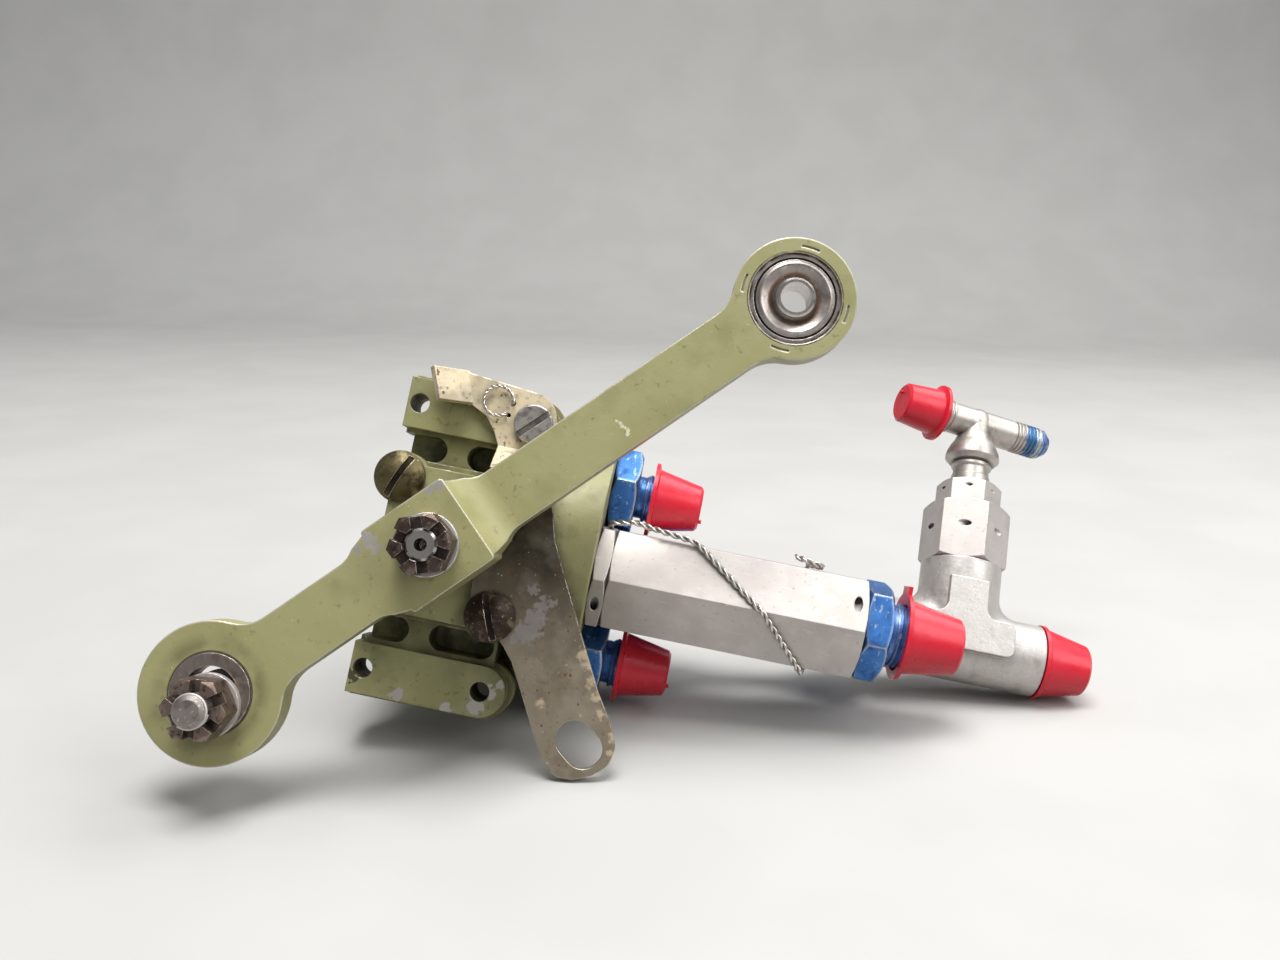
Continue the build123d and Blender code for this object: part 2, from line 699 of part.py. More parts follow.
poppet_slope = poppet_cone / (poppet_rim - poppet_nose)
seat_x = valve_start + seat_edge - poppet_slope * (seat_bore - poppet_nose) + slip_fit
poppet_side = chamber_radius - running_fit
poppet_profile = [(0.0, 0), (0.0, poppet_nose), (poppet_cone, poppet_rim),
                  (poppet_cone, poppet_side), (8.0, poppet_side), (8.0, poppet_bore),
                  (2.6, poppet_bore), (2.6, 0)]
save(along_x(turned(poppet_profile), front_port_depth, 0, seat_x), "check_poppet")
spring_start = seat_x + 2.6
spring_end = valve_end - 10.0
spring_path = Helix(pitch=(spring_end - spring_start - 1.0) / 7.5,
                    height=spring_end - spring_start - 1.0, radius=3.3)
spring_face = Plane(origin=spring_path @ 0, z_dir=spring_path % 0) * RegularPolygon(0.45, 8)
spring = sweep(spring_face, path=spring_path, is_frenet=True)
save(along_x(spring, front_port_depth, 0, spring_start + 0.5), "check_spring")

outlet_grip = straight_end(19.0, large_thread, large_thread * 0.4) - 9.7
outlet_cap = red_cap(10.2, 8.7, 6.5, 14.0, large_thread, outlet_grip)
outlet_cap += Pos(0, 0, 0.45) * Pos(-9.5, 0, 0) * Box(4.4, 5.6, 0.9)
save(along_x(outlet_cap, front_port_depth, 0, valve_end + 9.7), "outlet_cap")
print("valve done")


# Twisted locking wire from the jam nut, round the barrel, to a loose curled end
def lockwire():
    wire = 0.75
    corner = (valve_hex / 2 + wire + 0.05) / math.cos(math.radians(30))
    away = valve_hex / math.sqrt(3) - 3.2

    def at(x, lift, radius):
        a = math.radians(lift)
        return (x, back(front_port_depth) - radius * math.cos(a), radius * math.sin(a))

    start = at(jam_mid, 116, away)
    step = (-math.sin(math.radians(116)), -math.cos(math.radians(116)))
    leave = (jam_mid, start[1] + 8.4 * step[0], start[2] + 8.4 * step[1])
    top = valve_hex / 2 + wire + 0.15
    middle = back(front_port_depth)
    points = [start, leave, at(38.5, 66, corner + 1.0), at(45.0, 59, corner + 1.0),
              at(51.0, 58, corner + 0.4), at(53.6, 57, corner), at(70.1, -2, corner),
              at(81.9, -62, corner + 0.2), at(84.5, -122, corner), at(80.0, 178, corner),
              at(81.0, 118, corner + 0.1), (83.6, middle + 1.0, top + 0.1),
              (82.0, middle - 3.5, top + 0.3), (78.5, middle - 4.5, top + 0.8),
              (76.8, middle - 2.0, top + 1.2)]
    return points, wire


wire_points, wire_radius = lockwire()
save(tube(wire_points, 1.0, wire_radius), "lockwire")
print("wire done")


# Return line behind the in-line valve: union, two nuts, two sleeves and a flared tube
rear_union = union_piece(19.05, 6.3, facing(30), inner_reach, port_thread, large_thread, 18.0, 3.4)
save(along_x(rear_union, rear_port_depth, 0, port_face), "return_union")
line_start = port_face + 18.0
line_end = tee_x + run_left - 12.0
cone = math.tan(math.radians(37))
flare_tip = large_thread * 0.6
tube_r = large_thread - 2.385
tube_bore = tube_r - tube_wall
sleeve_r = tube_r + 1.24
shoulder_r = large_thread - 0.345
flare_wall = 0.9
flare_length = large_thread - 5.005
flare_mouth = flare_tip + flare_length * cone
flare_root = (flare_mouth + flare_wall - tube_r) / cone - flare_length
line_length = line_end - line_start
line_profile = [(-flare_length, flare_mouth + 0.03), (0.0, flare_tip + 0.03),
                (0.6, tube_bore), (line_length - 0.6, tube_bore),
                (line_length, flare_tip + 0.03),
                (line_length + flare_length, flare_mouth + 0.03),
                (line_length + flare_length, flare_mouth + flare_wall),
                (line_length - flare_root, tube_r), (flare_root, tube_r),
                (-flare_length, flare_mouth + flare_wall)]
save(along_x(turned(line_profile), rear_port_depth, 0, line_start), "return_tube")


def sleeve():
    near = flare_mouth + flare_wall - (flare_length - 0.6) * cone + 0.03
    return turned([(flare_root + 0.04, tube_r + slip_fit), (-0.6, near), (-0.6, shoulder_r),
                   (4.2, shoulder_r), (5.2, sleeve_r), (11.0, sleeve_r), (11.0, tube_r + slip_fit)])


def tube_nut():
    nut = hexagon(tube_nut_hex, 11.0, facing(30), 0.8)
    nut += Pos(0, 0, 11.0) * Cylinder(7.6, 5.0, align=(Align.CENTER, Align.CENTER, Align.MIN))
    nut = Pos(0, 0, -7.0) * nut
    hollow = turned([(-8, 0), (-8, large_thread + thread_gap), (2.0, large_thread + thread_gap),
                     (4.25, shoulder_r + 0.1), (5.3, sleeve_r + running_fit), (12, sleeve_r + running_fit),
                     (12, 0)])
    return nut - hollow


flip = Rot(180, 0, 0)
save([along_x(sleeve(), rear_port_depth, 0, line_start),
      along_x(Pos(0, 0, line_length) * flip * sleeve(), rear_port_depth, 0, line_start)], "tube_sleeves")
save([along_x(tube_nut(), rear_port_depth, 0, line_start),
      along_x(Pos(0, 0, line_length) * flip * tube_nut(), rear_port_depth, 0, line_start)], "tube_nuts")
print("line done")


# Forged tee. Local X is the run, local Z the branch; the branch leans back.
tee_place = Pos(tee_x, back(rear_port_depth), 0) * Rot(-tee_lean, 0, 0)


def run_end(sign, length, thread_r):
    drop = thread_r * 0.4
    cone_len = drop / math.tan(math.radians(37))
    end = turned([(0, 0), (0, thread_r - 0.5), (1.2, thread_r - 0.5), (1.7, thread_r),
                  (length - cone_len, thread_r), (length, thread_r - drop), (length, 0)])
    return Rot(0, 90 * sign, 0) * end


def front_pad():
    # Raised flat on the forging: a strip down the branch that spreads over the run.
    strip = Pos(-0.2, 6.0) * Rectangle(9.6, 18.0)
    spread = Pos(0.5, 1.2) * Rectangle(23.0, 8.4)
    shape = strip + spread
    inner = [v for v in shape.vertices() if abs(v.X) < 6 and 4 < v.Y < 7]
    shape = fillet(inner, 3.0)
    outer = [v for v in shape.vertices() if abs(v.X) > 9]
    shape = fillet(outer, 2.0)
    return Rot(90, 0, 0) * extrude(shape, branch_radius + 0.15, both=True)


def forged_tee():
    run = Pos((run_left + run_right) / 2, 0, 0) * Rot(0, 90, 0) * Cylinder(
        run_radius, run_right - run_left)
    branch = Cylinder(branch_radius, hex_height,
                      align=(Align.CENTER, Align.CENTER, Align.MIN))
    body = run + branch
    seams = [e for e in body.edges()
             if e.geom_type not in (GeomType.LINE, GeomType.CIRCLE) and e.center().Z > 1]
    body = fillet(seams, branch_blend)
    body += front_pad()
    body += Pos(run_right, 0, 0) * run_end(1, run_thread_length, large_thread)
    body += Pos(run_left, 0, 0) * run_end(-1, 12.0, large_thread)
    body -= Rot(0, 90, 0) * Cylinder(3.4, 120)
    body -= turned([(0, 0), (0, 3.4), (hex_height - 11.0, 3.4),
                    (hex_height - 11.0, port_thread + thread_gap),
                    (hex_height + 1, port_thread + thread_gap), (hex_height + 1, 0)])
    return body


save(tee_place * forged_tee(), "tee")
run_cap_gap = 0.3
run_grip = straight_end(run_thread_length, large_thread, large_thread * 0.4) - run_cap_gap
run_cap = red_cap(9.2, 8.6, 6.2, 12.3, large_thread, run_grip)
save(tee_place * Pos(run_right + run_cap_gap, 0, 0) * Rot(0, 90, 0) * run_cap, "run_cap")


# Long hexagon adapter, stepped at its upper end
def wire_holes(flats, height, radius):
    # Each locking-wire hole runs slantwise from the middle of one face to the middle of the next.
    away = flats / 2 * math.cos(math.radians(30))
    drills = []
    for k in range(3):
        drill = Rot(90, 0, 0) * Cylinder(radius, flats * 0.75)
        drills.append(Rot(0, 0, adapter_turn + 60 + 120 * k) * Pos(away, 0, height) * drill)
    return drills


def adapter():
    neck_height = adapter_top - adapter_shoulder
    shape = Pos(0, 0, hex_height) * hexagon(adapter_hex, adapter_shoulder - hex_height,
                                            adapter_turn, 1.0)
    shape += Pos(0, 0, adapter_shoulder - 0.6) * hexagon(adapter_neck_hex, neck_height + 0.6,
                                                         adapter_turn, 0.8)
    shape += Pos(0, 0, hex_height - 10.5) * Cylinder(
        port_thread, 11.0, align=(Align.CENTER, Align.CENTER, Align.MIN))
    gauge_seat = adapter_thread + thread_gap
    shape -= turned([(0, 0), (0, 3.0), (hex_height + 10, 3.0), (hex_height + 10, gauge_seat),
                     (adapter_top + 10, gauge_seat), (adapter_top + 10, 0)])
    shape -= wire_holes(adapter_hex, hex_height + 9.0, 0.8)
    shape -= wire_holes(adapter_neck_hex, adapter_top - 2.0, 0.45)
    return shape


save(tee_place * adapter(), "adapter")
gauge_place = tee_place * Pos(0, 0, gauge_height) * Rot(0, 0, gauge_turn)


def gauge_arm(length, thread_length, drop):
    body_r = 4.15
    cone_length = drop / math.tan(math.radians(37))
    return turned([(0, 0), (0, body_r), (length - thread_length, body_r),
                   (length - thread_length, gauge_thread - 0.4),
                   (length - thread_length + 0.8, gauge_thread),
                   (length - cone_length, gauge_thread), (length, gauge_thread - drop), (length, 0)])


def small_tee():
    seat = adapter_top - gauge_height
    stem = turned([(0, 0), (0, 4.3), (-3.7, 4.4), (-5.7, 5.2), (-7.0, 6.0), (-8.6, 6.7),
                   (-10.0, 6.93), (-10.5, 6.93), (-11.6, 5.9), (-11.8, 4.7), (-12.2, 5.1),
                   (-13.0, 5.1), (-13.4, 4.6), (seat + 2.8, 4.6), (seat + 2.5, adapter_thread),
                   (seat - 9.0, adapter_thread), (seat - 9.0, 0)])
    arm = gauge_arm(gauge_reach, gauge_thread_length, 1.3)
    body = stem + Rot(0, 90, 0) * arm + Rot(0, -90, 0) * arm + Sphere(4.4)
    body -= Rot(0, 90, 0) * Cylinder(1.7, 80)
    body -= Cylinder(1.7, 80, align=(Align.CENTER, Align.CENTER, Align.MAX))
    return body


save(gauge_place * small_tee(), "gauge_tee")
gauge_grip = straight_end(gauge_reach, gauge_thread, 1.3) - 11.2
gauge_cap = red_cap(7.5, 6.2, 5.2, 11.0, gauge_thread, gauge_grip, 0.45)
save(gauge_place * Pos(-11.2, 0, 0) * Rot(0, -90, 0) * gauge_cap, "gauge_cap")
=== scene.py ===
import bpy
import bmesh
import math
from mathutils import Matrix, Vector


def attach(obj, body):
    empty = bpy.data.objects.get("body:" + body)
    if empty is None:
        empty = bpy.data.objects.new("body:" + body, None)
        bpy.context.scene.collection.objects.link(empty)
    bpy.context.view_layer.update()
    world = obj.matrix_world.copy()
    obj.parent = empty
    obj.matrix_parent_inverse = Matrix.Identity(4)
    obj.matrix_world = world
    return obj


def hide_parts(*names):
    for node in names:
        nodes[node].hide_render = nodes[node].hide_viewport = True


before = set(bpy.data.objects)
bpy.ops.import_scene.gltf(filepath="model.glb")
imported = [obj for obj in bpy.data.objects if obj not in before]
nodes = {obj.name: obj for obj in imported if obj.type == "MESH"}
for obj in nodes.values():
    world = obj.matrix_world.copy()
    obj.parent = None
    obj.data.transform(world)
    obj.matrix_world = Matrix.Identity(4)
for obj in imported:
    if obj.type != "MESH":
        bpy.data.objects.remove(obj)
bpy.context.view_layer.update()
mm = 0.001
print("frame loaded:", len(nodes), "nodes")

# Places shared with the solids, in millimetres and degrees, all in the valve's own frame
layout = {
    "bodyDepth": 82.0,        # boss front to back face
    "bossFace": 0.0,          # depths behind the boss front
    "armFace": 7.2,
    "bracketFace": 18.8,
    "earFace": 25.9,
    "frontPort": 42.3,
    "sidePort": 53.8,
    "rearPort": 65.3,
    "leverAngle": 46.0,
    "longArm": 89.5,
    "shortArm": 51.0,
    "portFace": 31.5,
    "portPitch": 20.2,
    "valveStart": 35.2,
    "valveEnd": 93.9,
    "valveHex": 22.225,       # across its flats
    "teeX": 123.0,
    "teeLean": 16.0,
    "gaugeTurn": 13.0,
    "gaugeHeight": 61.2,
}


def back(depth):
    return depth - layout["bodyDepth"]


# X and Z of a point on the lever, from its distance along the arms
def onLever(along):
    a = math.radians(layout["leverAngle"])
    return (along * math.cos(a), along * math.sin(a))


bushAt = onLever(-layout["shortArm"])
bearingAt = onLever(layout["longArm"])


# Colours are written as sRGB hex and used as linear values
def colour(hexText):
    channels = []
    for k in (0, 2, 4):
        c = int(hexText[k:k + 2], 16) / 255
        channels.append(c / 12.92 if c <= 0.04045 else ((c + 0.055) / 1.055) ** 2.4)
    return (*channels, 1.0)


def addNode(tree, kind, inputs=None, **settings):
    node = tree.nodes.new(kind)
    for key, value in settings.items():
        setattr(node, key, value)
    for key, value in (inputs or {}).items():
        if isinstance(value, bpy.types.NodeSocket):
            tree.links.new(value, node.inputs[key])
        else:
            node.inputs[key].default_value = value
    return node


# The same, when only one of its outputs is wanted
def put(tree, kind, inputs=None, out=0, **settings):
    return addNode(tree, kind, inputs, **settings).outputs[out]


# What every surface draws in the same way
drawing = {
    "detail": 3.0,
    "fineDetail": 4.0,            # for ragged outlines, dirt and gloss
    "wearDetail": 5.0,
    "samples": 6,                 # rays that find corners and edges
    "zoneRange": (0.2, 0.8),      # part of the noise that sways a zone's edge
    "spotRange": (0.3, 0.7),      # part of the noise that makes a spot ragged
    "spotPatch": 0.8,             # ragged patches, as a share of the spot's radius
    "spotSway": 0.6,
    "spotEdge": 0.85,
    "dirtShadeRange": (0.75, 0.25),    # how open a corner is where dirt and painted shade start and where they are full
    "dirtShadePatch": 3.0,
    "dirtShadeBreaks": (0.25, 0.6),
    "dirtShadeGloss": 0.7,
    "edgeRange": (0.985, 0.86),   # how far a rounded edge turns where wear starts and where it is full
    "openRange": (0.55, 0.85),    # wear takes the edges that stand out, not the grooves
    "wearStep": 0.1,
    "wearGloss": 0.35,
    "glossPatch": 2.5,
    "glow": (0.004, 0.001, 0.001),  # metres that red, green and blue light run under the skin
    "firstSeed": 1.7,             # the noise's place, and how far each kind of stain moves it on
    "zoneSeed": 3.1,
    "mottleSeed": 2.3,
    "spotSeed": 1.9,
    "ringSeed": 1.3,
    "wearSeed": 5.0,
    "glossSeed": 9.1,
    "bumpSeed": 0.3,
}


# One surface: a base coat with zones, mottling, spots, rings, dirt and painted shade in corners, worn edges and
# bumps
# Sizes of patches and heights are in millimetres
def surface(name, look):
    material = bpy.data.materials.new(name)
    material.use_nodes = True
    tree = material.node_tree
    tree.nodes.clear()
    shader = addNode(tree, "ShaderNodeBsdfPrincipled")
    addNode(tree, "ShaderNodeOutputMaterial", {0: shader.outputs[0]})
    place = put(tree, "ShaderNodeTexCoord", out="Object")
    axes = addNode(tree, "ShaderNodeSeparateXYZ", {0: place}).outputs
    paint = colour(look["base"])
    rough = look["roughness"]
    metal = look.get("metallic", 0.0)

    def patches(size, seed, detail=drawing["detail"], stretch=(1, 1, 1)):    # cloudy noise from 0 to 1
        spread = put(tree, "ShaderNodeVectorMath", {0: place, 1: stretch}, operation="MULTIPLY")
        moved = put(tree, "ShaderNodeVectorMath", {0: spread, 1: (seed, seed, seed)})
        return put(tree, "ShaderNodeTexNoise", {"Vector": moved, "Detail": detail, "Scale": 1 / (size * mm)})

    def over(finish, mask, *others):             # lays a finish on where all the masks are
        nonlocal paint, rough, metal
        for other in others:
            mask = put(tree, "ShaderNodeMath", {0: mask, 1: other}, operation="MULTIPLY", use_clamp=True)
        paint = put(tree, "ShaderNodeMix", {0: mask, 6: paint, 7: colour(finish["hex"])}, 2, data_type="RGBA")
        if "roughness" in finish:
            rough = put(tree, "ShaderNodeMix", {0: mask, 2: rough, 3: finish["roughness"]})
        if "metallic" in finish:
            metal = put(tree, "ShaderNodeMix", {0: mask, 2: metal, 3: finish["metallic"]})

    seed = drawing["firstSeed"]
    for zone in look.get("zones", []):           # a colour that takes over along one axis
        swing = zone.get("swing", 0.0) * mm
        low, high = drawing["zoneRange"]
        ragged = patches(zone.get("ragged", 6.0), seed, drawing["fineDetail"])
        sway = put(tree, "ShaderNodeMapRange", {0: ragged, 1: low, 2: high, 3: -swing, 4: swing})
        edge = put(tree, "ShaderNodeMath", {0: axes[zone["axis"]], 1: sway}, operation="ADD")
        over(zone, put(tree, "ShaderNodeMapRange", {0: edge, 1: zone["from"] * mm, 2: zone["to"] * mm}))
        seed += drawing["zoneSeed"]
    for coat in look.get("mottle", []):
        clouds = patches(coat["size"], seed, stretch=coat.get("stretch", (1, 1, 1)))
        mask = put(tree, "ShaderNodeMapRange", {0: clouds, 1: coat["low"], 2: coat["high"]})
        over(coat, mask, coat.get("amount", 1.0))
        seed += drawing["mottleSeed"]
    for spot in look.get("spots", []):           # a chip, dent or stain at one place
        radius = spot["radius"] * mm
        low, high = drawing["spotRange"]
        centre = [c * mm for c in spot["at"]]
        away = put(tree, "ShaderNodeVectorMath", {0: place, 1: centre}, "Value", operation="DISTANCE")
        ragged = patches(spot["radius"] * drawing["spotPatch"], seed, drawing["fineDetail"])
        sway = put(tree, "ShaderNodeMapRange", {0: ragged, 1: low, 2: high, 3: -drawing["spotSway"] * radius,
                   4: drawing["spotSway"] * radius})
        reach = put(tree, "ShaderNodeMath", {0: away, 1: sway}, operation="ADD")
        inside = (drawing["spotEdge"] - spot.get("soft", 0.0)) * radius
        over(spot, put(tree, "ShaderNodeMapRange", {0: reach, 1: radius, 2: inside}), spot.get("amount", 1.0))
        seed += drawing["spotSeed"]
    for ring in look.get("rings", []):           # a seam or stain round a hole, seen from the lever side
        centre = (ring["at"][0] * mm, 0, ring["at"][1] * mm)
        flat = put(tree, "ShaderNodeVectorMath", {0: place, 1: (1, 0, 1)}, operation="MULTIPLY")
        away = put(tree, "ShaderNodeVectorMath", {0: flat, 1: centre}, "Value", operation="DISTANCE")
        off = put(tree, "ShaderNodeMath", {0: away, 1: ring["radius"] * mm}, operation="SUBTRACT")
        off = put(tree, "ShaderNodeMath", {0: off}, operation="ABSOLUTE")
        mask = put(tree, "ShaderNodeMapRange", {0: off, 1: ring["width"] * mm,
                   2: ring["width"] * ring.get("sharp", 0.6) * mm})
        amounts = [ring.get("amount", 1.0)]
        if "broken" in ring:
            low, high = ring["broken"]
            clouds = patches(ring.get("patch", 2.5), seed, drawing["fineDetail"])
            amounts.insert(0, put(tree, "ShaderNodeMapRange", {0: clouds, 1: low, 2: high}))
        over(ring, mask, *amounts)
        seed += drawing["ringSeed"]
    # Dirt and painted shade: darker where corners and hollows close the surface in, broken into patches
    if "dirtAndShade" in look:
        dirtAndShade = {"roughness": drawing["dirtShadeGloss"], **look["dirtAndShade"]}
        if "metallic" in look:
            dirtAndShade["metallic"] = 0.0
        starts, full = drawing["dirtShadeRange"]
        low, high = drawing["dirtShadeBreaks"]
        clear = put(tree, "ShaderNodeAmbientOcclusion", {"Distance": dirtAndShade["reach"] * mm}, 1,
                    samples=drawing["samples"])
        mask = put(tree, "ShaderNodeMapRange", {0: clear, 1: dirtAndShade.get("low", starts), 2: full})
        clouds = patches(drawing["dirtShadePatch"], seed, drawing["fineDetail"])
        over(dirtAndShade, mask, dirtAndShade["amount"], put(tree, "ShaderNodeMapRange", {0: clouds, 1: low, 2: high}))
    normal = None
    if "wear" in look:
        wear = {"roughness": drawing["wearGloss"], "metallic": 1.0, "low": 0.4, "patch": 3.0, **look["wear"]}
        normal = put(tree, "ShaderNodeBevel", {"Radius": wear["radius"] * mm}, samples=drawing["samples"])
        flat = put(tree, "ShaderNodeNewGeometry", out="Normal")
        same = put(tree, "ShaderNodeVectorMath", {0: normal, 1: flat}, "Value", operation="DOT_PRODUCT")
        low, high = drawing["edgeRange"]
        edge = put(tree, "ShaderNodeMapRange", {0: same, 1: low, 2: high})
        clear = put(tree, "ShaderNodeAmbientOcclusion", {"Distance": 2 * wear["radius"] * mm}, 1,
                    samples=drawing["samples"])
        low, high = drawing["openRange"]
        proud = put(tree, "ShaderNodeMapRange", {0: clear, 1: low, 2: high})
        clouds = patches(wear["patch"], seed + drawing["wearSeed"], drawing["wearDetail"])
        broken = put(tree, "ShaderNodeMapRange", {0: clouds, 1: wear["low"], 2: wear["low"] + drawing["wearStep"]})
        over(wear, edge, proud, broken)
    if "bounce" in look:                         # a darker colour for the light that bounces, unseen itself
        path = addNode(tree, "ShaderNodeLightPath").outputs
        seen = path["Is Camera Ray"]
        for other in ("Is Glossy Ray", "Is Transmission Ray"):
            seen = put(tree, "ShaderNodeMath", {0: seen, 1: path[other]}, operation="ADD", use_clamp=True)
        paint = put(tree, "ShaderNodeMix", {0: seen, 6: colour(look["bounce"]), 7: paint}, 2, data_type="RGBA")
    if "roughSpread" in look:                    # handling makes the gloss uneven
        low, high = drawing["spotRange"]
        clouds = patches(drawing["glossPatch"], drawing["glossSeed"], drawing["fineDetail"])
        spread = put(tree, "ShaderNodeMapRange", {0: clouds, 1: low, 2: high, 3: -look["roughSpread"],
                     4: look["roughSpread"]})
        rough = put(tree, "ShaderNodeMath", {0: rough, 1: spread}, operation="ADD", use_clamp=True)
    for bump in look.get("bumps", []):
        height = patches(bump["size"], drawing["bumpSeed"], bump.get("detail", drawing["detail"]))
        inputs = {"Height": height, "Strength": 1.0, "Distance": bump["height"] * mm}
        if normal is not None:
            inputs["Normal"] = normal
        normal = put(tree, "ShaderNodeBump", inputs)
    shader.inputs["Subsurface Weight"].default_value = look.get("subsurface", 0.0)
    shader.inputs["Subsurface Radius"].default_value = drawing["glow"]
    shader.inputs["Subsurface Scale"].default_value = 1.0
    for value, socket in ((paint, "Base Color"), (rough, "Roughness"), (metal, "Metallic"), (normal, "Normal")):
        if isinstance(value, bpy.types.NodeSocket):
            tree.links.new(value, shader.inputs[socket])
        elif value is not None:
            shader.inputs[socket].default_value = value
    return material


# Spots on one face that looks to the lever side, each point as X, Z and radius
def spotsOn(depth, points, **finish):
    return [{"at": (x, back(depth), z), "radius": radius, **finish} for x, z, radius in points]


def dress(material, *names):
    for name in names:
        slots = nodes[name].material_slots
        if not slots:
            nodes[name].data.materials.append(material)
        for slot in slots:
            slot.material = material


# Yellow-green zinc chromate primer on a light alloy casting: flat, a little grainy, with broad clouds of painted
# light and painted shade, and dirt and painted shade in the corners
primer = {"base": "918E60", "lit": "A3A176", "shade": "74724A", "bare": "B1ABA1", "soilShade": "322F20"}
bareChips = [(-4.6, -33.9, 1.5), (6.4, -34.5, 1.3), (15.1, -29.4, 1.6), (13.1, -32.7, 1.7), (17.4, -27.0, 1.2)]
primedCasting = surface("primedCasting", {
    "base": primer["base"], "roughness": 0.5, "roughSpread": 0.1,
    # The first two patches are painted light and painted shade: lighter and darker copies of the primer in random
    # clouds
    "mottle": [{"hex": primer["lit"], "size": 16.0, "low": 0.42, "high": 0.62, "amount": 0.5},
               {"hex": primer["shade"], "size": 7.0, "low": 0.5, "high": 0.68, "amount": 0.5},
               {"hex": "5E5A3A", "size": 1.6, "low": 0.62, "high": 0.72, "amount": 0.5},
               {"hex": "C9C7A4", "size": 0.7, "low": 0.72, "high": 0.75, "amount": 0.6}],
    "spots": spotsOn(layout["earFace"], bareChips, hex="B9B2AA", roughness=0.4, metallic=0.7)
             + spotsOn(layout["earFace"], [(-14.9, -31.6, 1.3)], hex="4A4530", roughness=0.7),
    "dirtAndShade": {"hex": primer["soilShade"], "reach": 7.0, "amount": 0.95, "low": 0.85},
    "wear": {"radius": 0.4, "hex": primer["bare"], "low": 0.5, "patch": 5.0, "roughness": 0.4},
    "bumps": [{"size": 6.0, "height": 0.10}, {"size": 0.8, "height": 0.04, "detail": 4.0}],
})
dress(primedCasting, "valve_body", "front_cover")

# The same primer on a smooth forging, rubbed bright at its corners and chipped to the alloy
cornerChips = [(-9.9, -2.6, 1.2), (-11.6, -1.2, 1.5), (-13.4, -3.6, 1.0), (-0.3, 11.8, 1.2), (1.0, 12.9, 1.0),
               (-2.2, 10.6, 0.8)]
armDents = [(32.0, 31.9, 0.35), (32.5, 31.4, 0.4), (33.2, 31.2, 0.4), (33.9, 30.7, 0.45), (34.0, 30.0, 0.4),
            (31.2, 32.2, 0.3)]
primedForging = surface("primedForging", {
    "base": "999567", "roughness": 0.45, "roughSpread": 0.1,
    "mottle": [{"hex": "A6A377", "size": 22.0, "low": 0.42, "high": 0.62, "amount": 0.5},
               {"hex": "7F7C50", "size": 9.0, "low": 0.52, "high": 0.7, "amount": 0.45},
               {"hex": "6A6642", "size": 1.4, "low": 0.64, "high": 0.74, "amount": 0.5},
               {"hex": "D6D3BA", "size": 0.6, "low": 0.74, "high": 0.76, "amount": 0.8}],
    "spots": spotsOn(layout["bossFace"], cornerChips, hex="C6C0B4", roughness=0.35, metallic=0.7)
             + spotsOn(layout["armFace"], armDents, hex="D2CFAE", roughness=0.4)
             + spotsOn(layout["armFace"], [(74.4, 56.9, 1.0)], hex="55523C", roughness=0.6)
             + spotsOn(layout["armFace"], [(72.6, 53.0, 0.7)], hex="C9C29F", roughness=0.4),
    "rings": [{"at": bushAt, "radius": 9.6, "width": 2.6, "sharp": 0.1, "hex": "5B5738", "amount": 0.55,
               "broken": (0.35, 0.6), "patch": 6.0},
              {"at": bushAt, "radius": 8.1, "width": 0.35, "hex": "3A2A1C", "roughness": 0.6},
              {"at": bearingAt, "radius": 9.75, "width": 0.3, "hex": "33281C", "roughness": 0.6,
               "broken": (0.3, 0.5)}],
    "dirtAndShade": {"hex": primer["soilShade"], "reach": 4.0, "amount": 0.6},
    "wear": {"radius": 0.6, "hex": "DAD6C8", "low": 0.3, "patch": 6.0, "roughness": 0.4, "metallic": 0.6},
    "bumps": [{"size": 9.0, "height": 0.09}, {"size": 0.7, "height": 0.025, "detail": 4.0}],
})
dress(primedForging, "lever")

# Dull cadmium plate on steel: warm grey, soft sheen, faint handling stains and scratches
cadmiumPlate = surface("cadmiumPlate", {
    "base": "C3BCB7", "roughness": 0.45, "metallic": 0.5, "roughSpread": 0.07,
    "mottle": [{"hex": "AFA69F", "size": 14.0, "low": 0.45, "high": 0.65, "amount": 0.5},
               {"hex": "D2CCC6", "size": 4.0, "low": 0.5, "high": 0.68, "amount": 0.35},
               {"hex": "8C827A", "size": 0.9, "low": 0.64, "high": 0.72, "amount": 0.45, "roughness": 0.55},
               {"hex": "DEDAD6", "size": 1.2, "low": 0.66, "high": 0.72, "amount": 0.3,
                "stretch": (0.25, 1.3, 1.3)}],
    "dirtAndShade": {"hex": "332D28", "reach": 2.0, "amount": 0.7},
    "wear": {"radius": 0.35, "hex": "E0DDDA", "low": 0.38, "roughness": 0.28},
    "bumps": [{"size": 0.5, "height": 0.008}, {"size": 9.0, "height": 0.03}],
})
dress(cadmiumPlate, "valve_barrel", "valve_jam_nut", "shaft_washer", "link_washers", "ear_nut", "adapter")

# The loose bolt: cadmium gone dull grey, specked
dullPlate = surface("dullPlate", {
    "base": "8D8581", "roughness": 0.5, "metallic": 0.85, "roughSpread": 0.08,
    "mottle": [{"hex": "6C635E", "size": 1.6, "low": 0.5, "high": 0.66, "amount": 0.7},
               {"hex": "C9C3BF", "size": 0.7, "low": 0.62, "high": 0.7, "amount": 0.7}],
    "dirtAndShade": {"hex": "241D18", "reach": 1.5, "amount": 0.8},
    "wear": {"radius": 0.3, "hex": "D2CCC8", "low": 0.4, "patch": 1.5},
    "bumps": [{"size": 0.4, "height": 0.03}],
})
dress(dullPlate, "link_bolt")

# The bush: plain bearing metal under a brown film of old oil
oiledBush = surface("oiledBush", {
    "base": "8F857C", "roughness": 0.38, "metallic": 0.9, "roughSpread": 0.08,
    "mottle": [{"hex": "6E5F54", "size": 2.5, "low": 0.48, "high": 0.66, "amount": 0.7},
               {"hex": "B5ADA6", "size": 1.5, "low": 0.55, "high": 0.7, "amount": 0.5}],
    "dirtAndShade": {"hex": "2B1F15", "reach": 1.5, "amount": 0.8},
    "wear": {"radius": 0.3, "hex": "CFC8C0", "low": 0.4, "patch": 2.0},
    "bumps": [{"size": 0.5, "height": 0.015}],
})
dress(oiledBush, "lever_bushing")

